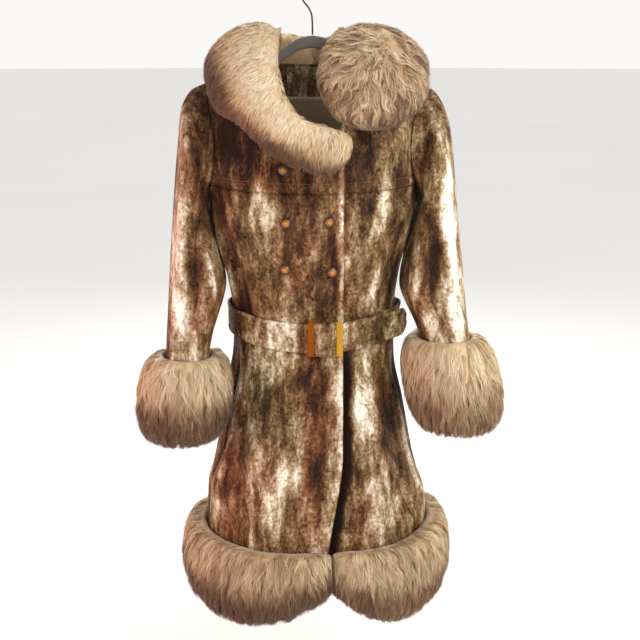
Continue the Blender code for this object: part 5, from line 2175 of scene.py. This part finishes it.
@dataclass(frozen=True)
class Collar:
    """The two halves of the fur collar."""

    form: BodyForm
    clear: float = 0.0060
    spread: float = 0.262
    spread_power: float = 2.6
    sections: int = 110
    around: int = 44
    smoothings: int = 24
    end_round: float = 0.016
    crown: tuple[float, float, float] = (0.128, 0.0, -0.098)

    def lift_off(self, points: Array) -> Array:
        """Push points that reach into the body or a shoulder out to the nearest outside.

        The body's side view is upright below and closes like a circle over the shoulder line.

        Args:
            points: the collar's points.

        Returns:
            The points, clear of the body.
        """
        x, y, z = points[..., 0], points[..., 1], points[..., 2]
        depth = np.where(y < 0, column(BODY, "height", "front", z),
                         column(BODY, "height", "back", z))
        rounding = np.clip(1 - (np.abs(x) / self.spread) ** self.spread_power, 0.02, 1)
        depth = depth * np.sqrt(rounding) + self.clear
        crest = self.form.shoulder_height(x) + self.clear
        round_over = self.form.shoulder_round
        rise = np.clip(1 - (crest - z) / round_over, 0, None)
        reach = np.sqrt((y / depth) ** 2 + rise ** 2)
        push = np.where(reach < 1, 1 / np.maximum(reach, 1e-6), 1)
        inside = (reach < 1) & (z < crest)
        new_y = np.where(inside, y * push, y)
        new_z = np.where(inside & (rise > 0), crest - round_over * (1 - rise * push), z)
        return np.stack([x, new_y, new_z], axis=-1)

    def half(self, stations: Sequence[Station], swirl: float, parted: float) -> tuple[Array, Array]:
        """Sections of one half, and the comb at each point.

        A section is an oval centre - across cos(turn) + normal loft sin(turn), lying on the body.
        Over the last end_round the sections close like a circle's side, so that the end is round.
        The fur is combed from the neck edge to the outer edge, downwards and towards the free end.

        Args:
            stations: the half's table.
            swirl: how much the comb wanders.
            parted: how much the fur in front is combed away from the crown.

        Returns:
            Points and comb directions.
        """
        end = len(stations) - 1
        along = end * (1 - (1 - np.linspace(0, 1, self.sections)) ** 1.35)
        spot = np.arange(len(stations), dtype=float)
        read = {name: smooth_at(spot, [getattr(s, name) for s in stations], along)
                for name in Station._fields}
        neck = np.stack([read["neck_x"], read["neck_y"], read["neck_z"]], axis=-1)
        edge = np.stack([read["edge_x"], read["edge_y"], read["edge_z"]], axis=-1)
        centre, across = (neck + edge) / 2, (edge - neck) / 2
        ahead = unit(np.gradient(centre, axis=0))
        normal = unit(np.cross(ahead, across))
        normal *= np.sign(dot(normal, centre - np.array([0.0, 0.0, -0.30])))
        turn = full_turn(self.around)[None, :, None]
        points = (centre[:, None] - across[:, None] * np.cos(turn)
                  + normal[:, None] * read["loft"][:, None, None] * np.sin(turn))
        points = self.lift_off(points)
        eased = points.copy()
        for _ in range(self.smoothings):
            eased[1:-1] = (eased[:-2] + 2 * eased[1:-1] + eased[2:]) / 4
        behind = 0.2 + 0.8 * smooth_step(-0.05, 0.05, points[..., 1:2].mean(axis=1, keepdims=True))
        points = points * (1 - behind) + eased * behind
        middle = points.mean(axis=1, keepdims=True)
        step = np.linalg.norm(np.diff(middle[:, 0], axis=0), axis=-1)
        to_end = np.concatenate([np.cumsum(step[::-1])[::-1], [0]])
        closing = np.clip(to_end / self.end_round, 0, 1)
        rounding = np.maximum(np.sqrt(1 - (1 - closing) ** 2), 0.12)[:, None, None]
        points = middle + (points - middle) * rounding
        side = np.sign(stations[0].neck_x)
        clear = np.maximum(side * points[..., 0], 0)
        points[..., 0] = np.where(points[..., 1] > 0, side * clear, points[..., 0])
        points[0, :, 0] = 0
        inside = 1 - smooth_step(0.84, 0.98, np.linspace(0, 1, self.sections))[:, None, None]
        wander = (0.45 + swirl * lattice_noise(points / 0.045, 61)[..., None]) * inside
        lie = unit(across)[:, None] + wander * ahead[:, None] + np.array([0, 0, -0.35])
        away = unit((points - np.array(self.crown)) * np.array([1.0, 0.2, 1.0]))
        front = parted * smooth_step(-0.02, 0.05, -points[..., 1:2]) * inside
        return points, lie * (1 - front) + away * front

    def build(self, dresser: Dresser) -> None:
        """Make both halves: the long right one combed smooth, the short left one ruffled.

        Args:
            dresser: takes the pieces.
        """
        turn = full_turn(self.around)[None, :]
        outer = smooth_step(0.48, 0.95, (1 - np.cos(turn)) / 2)
        thick = smooth_step(-0.75, -0.2, np.sin(turn))
        under = smooth_step(0, 1, -np.sin(turn))
        styles = {
            "collar_right": (COLLAR_RIGHT, 0.0, 1.0, FurStyle(
                19500, 3600, 0.028, 11, spread=0.006, clump=0.25, wave=0.14, stray=0.14, shade=0.57,
                overrun=0.2, sunk=0.004, flare=0.002, width=0.0009, mottle=0.35, patches=rows_of(
                    # Painted shade at the outer and lower edges, painted highlight on the inner
                    # roll and the ruffled silvery places.
                    FurPatch,
                    (-0.165, -0.175, 0.040, 0.060, -0.32, 0.0),
                    (-0.062, -0.140, 0.034, 0.050, 0.24, 0.0),
                    (-0.005, -0.220, 0.050, 0.024, 0.20, 0.0),
                    (-0.095, -0.270, 0.070, 0.032, -0.42, 0.4),
                    (-0.010, -0.312, 0.060, 0.020, -0.36, 0.4),
                    (-0.105, -0.175, 0.020, 0.030, 0.12, 2.2),
                    (-0.067, -0.235, 0.022, 0.020, 0.12, 2.2),
                    (0.026, -0.285, 0.022, 0.016, 0.10, 2.0),
                ))),
            "collar_left": (COLLAR_LEFT, 0.85, 0.30, FurStyle(
                15500, 950, 0.052, 12, wave=0.62, wave_length=0.036, clump=0.76, spread=0.010,
                shade=0.42, segments=5, overrun=0.2, sunk=0.007, mottle=1.3, patches=rows_of(
                    FurPatch,
                    (0.070, -0.165, 0.020, 0.030, -0.12, 1.0),
                    (0.120, -0.210, 0.045, 0.024, -0.14, 0.6),
                    (0.150, -0.120, 0.030, 0.030, 0.08, 1.2),
                    (0.020, -0.160, 0.018, 0.050, -0.20, 0.3),
                    (0.170, -0.190, 0.020, 0.040, -0.14, 0.2),
                ))),
        }
        for name, (stations, parted, edge_painted_shade, style) in styles.items():
            # Painted shade towards each half's outer edge and on its face towards the body.
            growth = Growth(0.25 + 0.75 * thick, edge_painted_shade * outer + 0.4 * under, thick)
            points, comb = self.half(stations, 1.3 * style.wave, parted)
            Fur(style).build(dresser, name, FurForm(points, comb, growth, False, style.sunk))


@dataclass(frozen=True)
class CuffSize:
    """Height and wall of one cuff."""

    name: str
    sleeve: tuple[Ring, ...]
    top: float
    foot: float
    hole: float
    reach: float
    shade: float
    painted_shade_weight: float
    seed: int


CUFFS = (
    # Each cuff's last number but one weighs its painted shade at the foot.
    CuffSize("cuff_right", SLEEVE_RIGHT, -0.640, -0.796, 0.0435, 0.0440, 0.54, 0.62, 31),
    CuffSize("cuff_left", SLEEVE_LEFT, -0.608, -0.780, 0.0458, 0.0457, 0.55, 0.34, 32),
)


@dataclass(frozen=True)
class Cuffs:
    """Fat fur rings round the sleeve ends, open for the hand."""

    around: int = 96
    section: int = 44
    taper: float = 0.6

    def ring(self, cuff: CuffSize) -> tuple[Array, Array]:
        """Sections of a cuff, standing square to a circle round the sleeve, and the comb.

        Args:
            cuff: the cuff's sizes.

        Returns:
            Points and comb directions: out and down from the sleeve, then in below.
        """
        turn = full_turn(self.around)[:, None]
        wall = full_turn(self.section)[None, :]
        bulge = bowed(np.cos(wall), np.where(np.cos(wall) < 0, 0.45, 1.0))
        slimmer = 1 + self.taper * np.abs(np.sin(wall))
        radius = cuff.hole + cuff.reach * ((1 + bulge) / 2) ** slimmer
        height = (cuff.top + cuff.foot) / 2 + (cuff.top - cuff.foot) / 2 * high_inside(wall)
        levels = [ring.outer_z for ring in cuff.sleeve]
        middles = [(ring.outer_x + ring.inner_x) / 2 for ring in cuff.sleeve]
        middle = smooth_at(levels, middles, height)
        fore = smooth_at(levels, [ring.forward for ring in cuff.sleeve], height)
        points = np.stack([middle + radius * np.cos(turn), fore + radius * np.sin(turn),
                           height + 0 * turn], axis=-1)
        out = np.stack([np.cos(turn) + 0 * wall, np.sin(turn) + 0 * wall, 0 * turn * wall], axis=-1)
        return points, out * outwards(wall, 0.45, 0.50)[..., None] + DOWN

    def build(self, dresser: Dresser) -> None:
        """Make both cuffs.

        Args:
            dresser: takes the pieces.
        """
        wall = full_turn(self.section)[None, :]
        growth = ring_growth(wall, 0.30, 0.80)
        for cuff in CUFFS:
            points, comb = self.ring(cuff)
            style = FurStyle(14500, 900, 0.060, cuff.seed, wave=0.30, wave_length=0.045,
                             shade=cuff.shade, painted_shade_weight=cuff.painted_shade_weight)
            Fur(style).build(dresser, cuff.name, FurForm(points, comb, growth, True, style.sunk))


@dataclass(frozen=True)
class HemFur:
    """The fur band in two halves that part at the slit and meet at centre back."""

    form: BodyForm
    clear: float = 0.0011
    slit_angle: float = 7.5
    slit_gap: float = 0.5
    back_angle: float = 180.0
    rounded: float = 13.0
    sections: int = 130
    around: int = 40

    def half(self, start: float, end: float, lapped: bool) -> tuple[Array, Array]:
        """Sections of half the band, an oval with a flatter inside, and the comb.

        Args:
            start: angle of the end at the slit.
            end: angle of the end at centre back.
            lapped: the half lies on the upper front.

        Returns:
            Points and comb directions: out at the top, then down, and to the slit near it.
        """
        along = (np.linspace(0, 1, self.sections) ** 1.25)[:, None]
        angle = start + (end - start) * along
        top, foot, reach = (column(HEM, "angle", name, angle) for name in ("top", "foot", "reach"))
        near = np.clip(np.abs(angle - start) / self.rounded, 0, 1)
        rounding = np.sqrt(1 - (1 - near) ** 2) * 0.62 + 0.38
        wall = full_turn(self.around)[None, :]
        bulge = bowed(np.cos(wall), np.where(np.cos(wall) < 0, 0.4, 0.9))
        height = (top + foot) / 2 + (top - foot) / 2 * (0.72 + 0.28 * rounding) * high_inside(wall)
        out = self.clear + reach / 2 * rounding * (1 + bulge)
        if lapped:
            out = out + self.form.lap_rise(angle, height)
        points = self.form.torso(angle + 0 * wall, height, out)
        away = unit(points.mean(axis=1, keepdims=True) * LEVEL) + 0 * points
        to_slit = np.array([math.copysign(1.0, start - end), 0.0, 0.0]) * (1 - near)[..., None]
        to_slit = to_slit * (0.40 + 0.5 * np.sin(wall))[..., None]
        return points, away * outwards(wall, 0.15, 0.50)[..., None] + to_slit + DOWN

    def build(self, dresser: Dresser) -> None:
        """Make both halves.

        Args:
            dresser: takes the pieces.
        """
        growth = ring_growth(full_turn(self.around)[None, :], 0.30, 0.85)
        # Each half's middle number weighs its painted shade at the foot.
        halves = {"hem_fur_right": (-1, 0.62, 41), "hem_fur_left": (1, 0.40, 42)}
        for name, (side, painted_shade_weight, seed) in halves.items():
            points, comb = self.half(self.slit_angle + side * self.slit_gap,
                                     side * self.back_angle, side < 0)
            style = FurStyle(20500, 1300, 0.058, seed, wave=0.32, wave_length=0.042, shade=0.45,
                             painted_shade_weight=painted_shade_weight)
            Fur(style).build(dresser, name, FurForm(points, comb, growth, False, style.sunk))


# ---------------------------------------------------------------- trims and hanger
@dataclass(frozen=True)
class Buttons:
    """Five turned amber buttons with a rim."""

    form: BodyForm
    radius: float = 0.0095
    lift: float = 0.0004
    steps: int = 36

    def profile(self) -> Array:
        """Half outline, from the top's centre down the outer side.

        Returns:
            Share of the radius, and height in metres, at each point.
        """
        return np.array([[0.0, 0.00620], [0.14, 0.00618], [0.30, 0.00605], [0.46, 0.00570],
                         [0.60, 0.00510], [0.72, 0.00430], [0.77, 0.00372], [0.80, 0.00366],
                         [0.84, 0.00392], [0.90, 0.00396], [0.96, 0.00350], [1.00, 0.00250],
                         [0.99, 0.00130], [0.94, 0.00060], [0.60, 0.00010], [0.0, 0.0]])

    def place(self, spot: ButtonSpot) -> tuple[Array, Array]:
        """Where a button sits on the lapped front.

        Args:
            spot: the button.

        Returns:
            Its foot, and the way it faces.
        """
        height = np.array(spot.height + column(BODY, "height", "sag", np.array(spot.height)))
        angle = self.form.angle_at(np.array(spot.x), height)
        lift = self.form.lap_rise(angle, height) + self.lift
        foot = self.form.torso(angle, height, lift)
        ahead = self.form.torso(angle, height, lift + 0.01) - foot
        return foot, unit(ahead * LEVEL)

    def build(self, dresser: Dresser) -> None:
        """Make the five buttons: the profile turned about each one's own axis.

        Args:
            dresser: takes the pieces.
        """
        profile = self.profile()
        turn = full_turn(self.steps)
        inner = profile[1:-1]
        for spot in BUTTONS:
            foot, facing = self.place(spot)
            right = np.cross(UP, facing)
            ridge = 1 + 0.012 * np.cos(8 * turn)[None, :, None] * (inner[:, :1, None] < 0.7)
            ring = (np.cos(turn)[:, None] * right + np.sin(turn)[:, None] * UP)[None]
            body = foot + ring * (inner[:, 0, None, None] * self.radius * ridge)
            body = body + facing * inner[:, 1, None, None]
            points = np.concatenate([body.reshape(-1, 3), [foot + facing * profile[0, 1]], [foot]])
            quads = grid_faces(len(inner), self.steps, wrap_columns=True)
            caps = end_fans(len(inner), self.steps, len(points) - 2)
            mesh = make_mesh(f"{spot.name}_turned", points, [quads, caps])
            outward(mesh)
            share = np.repeat(np.linspace(0.06, 0.94, len(inner)), self.steps)
            angle = np.tile(turn / (2 * math.pi), len(inner))
            turned = np.stack([angle, share], axis=-1)
            corner_map(mesh, ResinFinish.turned_map,
                       np.concatenate([turned, [[0.5, 0.0], [0.5, 1.0]]]))
            dresser.add(f"{spot.name}_turned", mesh, ResinFinish(), Slot.BUTTON_RESIN, [spot.name])


@dataclass(frozen=True)
class Stitching:
    """Top-stitching above the yoke seam, on both fronts and the back."""

    form: BodyForm
    body: CoatBody
    rise: float = 0.016
    pitch: float = 0.0042
    length: float = 0.0030
    thick: float = 0.00055

    def line(self, start: float, end: float, out: Reach) -> Array:
        """Points along a stitched line at even spacing.

        Args:
            start: angle of its first end.
            end: angle of its last end.
            out: distance off the body by angle and height.

        Returns:
            The points.
        """
        angle = np.linspace(start, end, 600)
        height = self.body.yoke_seam + self.rise + 0 * angle
        points = self.form.torso(angle, height, out(angle, height), fine=True)
        steps = np.linalg.norm(np.diff(points, axis=0), axis=-1)
        travelled = np.concatenate([[0], np.cumsum(steps)])
        even = np.arange(self.pitch, travelled[-1] - self.pitch, self.pitch)
        return np.stack([np.interp(even, travelled, points[:, k]) for k in range(3)], axis=-1)

    def build(self, dresser: Dresser) -> None:
        """Make the stitches as one piece; each is a small eight-sided lens.

        Args:
            dresser: takes the piece.
        """
        height = np.array(self.body.yoke_seam + self.rise)
        edge, spread = float(self.form.lap_edge(height)), float(self.form.arm_spread(height))
        lines = (
            self.line(-88 + spread, edge - 1.5, self.body.right_out),
            self.line(edge + 2.5, 88 - spread, self.body.left_out),
            self.line(92 + spread, 268 - spread, self.body.back_out),
        )
        parts = []
        for line in lines:
            ahead = unit(np.gradient(line, axis=0))
            out = unit(line * LEVEL)
            centre = line + out * self.thick * 0.3
            parts.append(np.stack([
                centre - ahead * self.length / 2, centre + ahead * self.length / 2,
                centre + UP * self.thick, centre - UP * self.thick,
                centre + out * self.thick, centre - out * self.thick], axis=1))
        lenses = np.concatenate(parts)
        lens = np.array([[0, 2, 4], [2, 1, 4], [1, 3, 4], [3, 0, 4],
                         [2, 0, 5], [1, 2, 5], [3, 1, 5], [0, 3, 5]])
        faces = (np.arange(len(lenses)) * 6)[:, None, None] + lens[None]
        mesh = make_mesh("yoke_stitches", lenses.reshape(-1, 3), [faces.reshape(-1, 3)])
        outward(mesh)
        dresser.add("yoke_stitches", mesh, THREAD, Slot.PILE_CLOTH)


class BarPoint(NamedTuple):
    """Top of the hanger bar at a distance from its middle."""

    out: float
    top: float


BAR_TOP = rows_of(
    BarPoint,
    (0.000, -0.0845),
    (0.020, -0.0880),
    (0.042, -0.1010),
    (0.060, -0.1150),
    (0.078, -0.1309),
    (0.100, -0.1382),
    (0.120, -0.1443),
    (0.165, -0.1605),
    (0.200, -0.1734),
)


@dataclass(frozen=True)
class Hanger:
    """Thin moulded bar that arches to the hook, and the wire hook."""

    half: float = 0.166
    thick: float = 0.006
    tall: float = 0.021
    wire: float = 0.0015
    loop: float = 0.0185
    stations: int = 90
    bar_sides: int = 20
    wire_sides: int = 12

    def bar(self) -> tuple[Array, list[Array]]:
        """Rounded oval sections along the bar's arch, closed at both tips.

        Returns:
            Vertices and faces.
        """
        x = np.linspace(-self.half, self.half, self.stations)[:, None]
        top = column(BAR_TOP, "out", "top", np.abs(x))
        tip = np.sqrt(np.clip((self.half + 0.012 - np.abs(x)) / 0.03, 0.1, 1))
        turn = full_turn(self.bar_sides)[None, :]
        wide = bowed(np.cos(turn), 0.6)
        z = top - self.tall / 2 * tip * (1 - bowed(np.sin(turn), 0.6))
        points = np.stack([x + 0 * turn, self.thick / 2 * wide + 0 * x, z], axis=-1)
        flat = points.reshape(-1, 3)
        ends = points[[0, -1]].mean(axis=1)
        faces = [grid_faces(self.stations, self.bar_sides, wrap_columns=True),
                 end_fans(self.stations, self.bar_sides, len(flat))]
        return np.concatenate([flat, ends]), faces

    def hook(self) -> tuple[Array, list[Array]]:
        """Wire from inside the bar up through a bend into three quarters of a circle.

        Returns:
            Vertices and faces.
        """
        stem = np.array([[0.0005, -0.0838], [0.0003, -0.0660], [-0.0006, -0.0520],
                         [-0.0030, -0.0445], [-0.0078, -0.0365]])
        turn = np.radians(np.linspace(216, -28, 60))
        middle = self.wire - self.loop
        loop = np.stack([self.loop * np.cos(turn), middle + self.loop * np.sin(turn)], axis=-1)
        knots = np.concatenate([stem, loop[::6]])
        place = np.concatenate([[0], np.cumsum(np.linalg.norm(np.diff(knots, axis=0), axis=-1))])
        even = np.linspace(0, place[-1], self.stations)
        x, z = (smooth_at(place, knots[:, k], even) for k in range(2))
        path = np.stack([x, 0 * x, z], axis=-1)
        return tube(path, np.full(len(path), self.wire), self.wire_sides, np.array([0.0, 1.0, 0.0]))

    def build(self, dresser: Dresser) -> None:
        """Make the bar and the hook.

        Args:
            dresser: takes the pieces.
        """
        for node, look, shape, finish, slot in (
                ("hanger_bar", "flocked", self.bar(), FlockFinish(), Slot.HANGER_PLASTIC),
                ("hanger_hook", "wire", self.hook(), WIRE, Slot.HOOK_STEEL)):
            mesh = make_mesh(f"{node}_{look}", *shape)
            outward(mesh)
            dresser.add(mesh.name, mesh, finish, slot, [node])


# ---------------------------------------------------------------- studio
@dataclass(frozen=True)
class Lamp:
    """A soft square lamp that faces the coat."""

    name: str
    place: tuple[float, float, float]
    size: float
    energy: float
    colour: tuple[float, float, float]


@dataclass(frozen=True)
class Studio:
    """Pale floor, soft light and the camera at the photograph's angle."""

    camera_place: tuple[float, float, float] = (0.0135, -1.85, -0.10)
    camera_pitch: float = 75.0
    focal_pixels: float = 1028.0
    half_frame: float = 320.0
    aim: tuple[float, float, float] = (0.0, 0.0, -0.62)
    floor_height: float = -1.42
    floor_radius: float = 60.0
    floor_sides: int = 64
    horizon: float = 0.06
    horizon_glow: float = 0.96
    ceiling: float = 0.30
    ceiling_glow: float = 0.58
    overhead: float = 1.0
    overhead_softness: float = 60.0
    lamps: tuple[Lamp, ...] = (
        Lamp("key", (1.4, -2.0, 1.0), 1.1, 58.0, (1.0, 0.97, 0.90)),
        Lamp("red_fill", (-2.0, -0.5, -0.6), 1.0, 24.0, (1.0, 0.42, 0.28)),
        Lamp("warm_fill", (2.0, -0.4, -0.3), 1.0, 12.0, (1.0, 0.92, 0.70)),
        Lamp("back_soft", (0.0, 2.4, 1.0), 1.6, 40.0, (1.0, 0.96, 0.92)),
    )

    def build(self) -> None:
        """Make the camera, lamps, floor and world; the world is bright at the horizon."""
        scene = bpy.context.scene
        lens = bpy.data.cameras.new("camera")
        lens.sensor_fit = "HORIZONTAL"
        lens.angle = 2 * math.atan(self.half_frame / self.focal_pixels)
        lens.clip_end = 2 * self.floor_radius
        camera = bpy.data.objects.new("camera", lens)
        camera.location = self.camera_place
        camera.rotation_euler = (math.radians(self.camera_pitch), 0, 0)
        scene.collection.objects.link(camera)
        scene.camera = camera
        for lamp in self.lamps:
            self._add_lamp(lamp)
        overhead = bpy.data.lights.new("overhead", "SUN")
        overhead.energy = self.overhead
        overhead.angle = math.radians(self.overhead_softness)
        scene.collection.objects.link(bpy.data.objects.new("overhead", overhead))
        turn = full_turn(self.floor_sides)
        points = np.stack([np.cos(turn) * self.floor_radius, np.sin(turn) * self.floor_radius,
                           0 * turn + self.floor_height], axis=-1)
        mesh = make_mesh("floor", points, [np.arange(self.floor_sides)[None, :]])
        mesh.materials.append(FLOOR.material())
        floor = bpy.data.objects.new("floor", mesh)
        scene.collection.objects.link(floor)
        world = bpy.data.worlds.new("studio")
        world.use_nodes = True
        nodes, links = world.node_tree.nodes, world.node_tree.links
        way = nodes.new("ShaderNodeTexCoord")
        split = nodes.new("ShaderNodeSeparateXYZ")
        fade = nodes.new("ShaderNodeMapRange")
        for name, level_of in (("From Min", self.horizon), ("From Max", self.ceiling),
                               ("To Min", self.horizon_glow), ("To Max", self.ceiling_glow)):
            fade.inputs[name].default_value = level_of
        background = nodes["Background"]
        background.inputs["Color"].default_value = (1.0, 0.985, 0.97, 1)
        links.new(way.outputs["Object"], split.inputs[0])
        links.new(split.outputs["Z"], fade.inputs["Value"])
        links.new(fade.outputs[0], background.inputs["Strength"])
        scene.world = world
        scene.view_settings.view_transform = "Standard"

    def _add_lamp(self, lamp: Lamp) -> None:
        """One lamp, turned to the coat.

        Args:
            lamp: its place, size and light.
        """
        light = bpy.data.lights.new(lamp.name, "AREA")
        light.size = lamp.size
        light.energy = lamp.energy
        light.color = lamp.colour
        shown = bpy.data.objects.new(lamp.name, light)
        place = np.array(lamp.place)
        ahead = unit(np.array(self.aim) - place)
        shown.location = lamp.place
        shown.rotation_euler = (math.acos(float(-ahead[2])), 0, math.atan2(-ahead[0], ahead[1]))
        bpy.context.scene.collection.objects.link(shown)


def dress_buckle(dresser: Dresser) -> None:
    """The buckle's solid has its true shape and gets its gilt finish.

    Args:
        dresser: holds the frame and the finishes.
    """
    buckle = dresser.frame["nodes"]["buckle"]
    material = dresser.look(GiltFinish())
    if not buckle.data.materials:
        buckle.data.materials.append(material)
    for place in buckle.material_slots:
        place.link = "OBJECT"
        place.material = material
    log.info("buckle: gilt finish")


def main() -> None:
    """Build the studio and every piece of the coat."""
    logging.basicConfig(level=logging.INFO, format="%(name)s: %(message)s")
    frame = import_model()
    Studio().build()
    form = BodyForm()
    dresser = Dresser(frame)
    body = CoatBody(form)
    body.build(dresser)
    Sleeves(form).build(dresser)
    Belt(form).build(dresser)
    dress_buckle(dresser)
    Buttons(form).build(dresser)
    Stitching(form, body).build(dresser)
    Hanger().build(dresser)
    Collar(form).build(dresser)
    Cuffs().build(dresser)
    HemFur(form).build(dresser)
    bpy.context.view_layer.update()


if __name__ == "__main__":
    main()
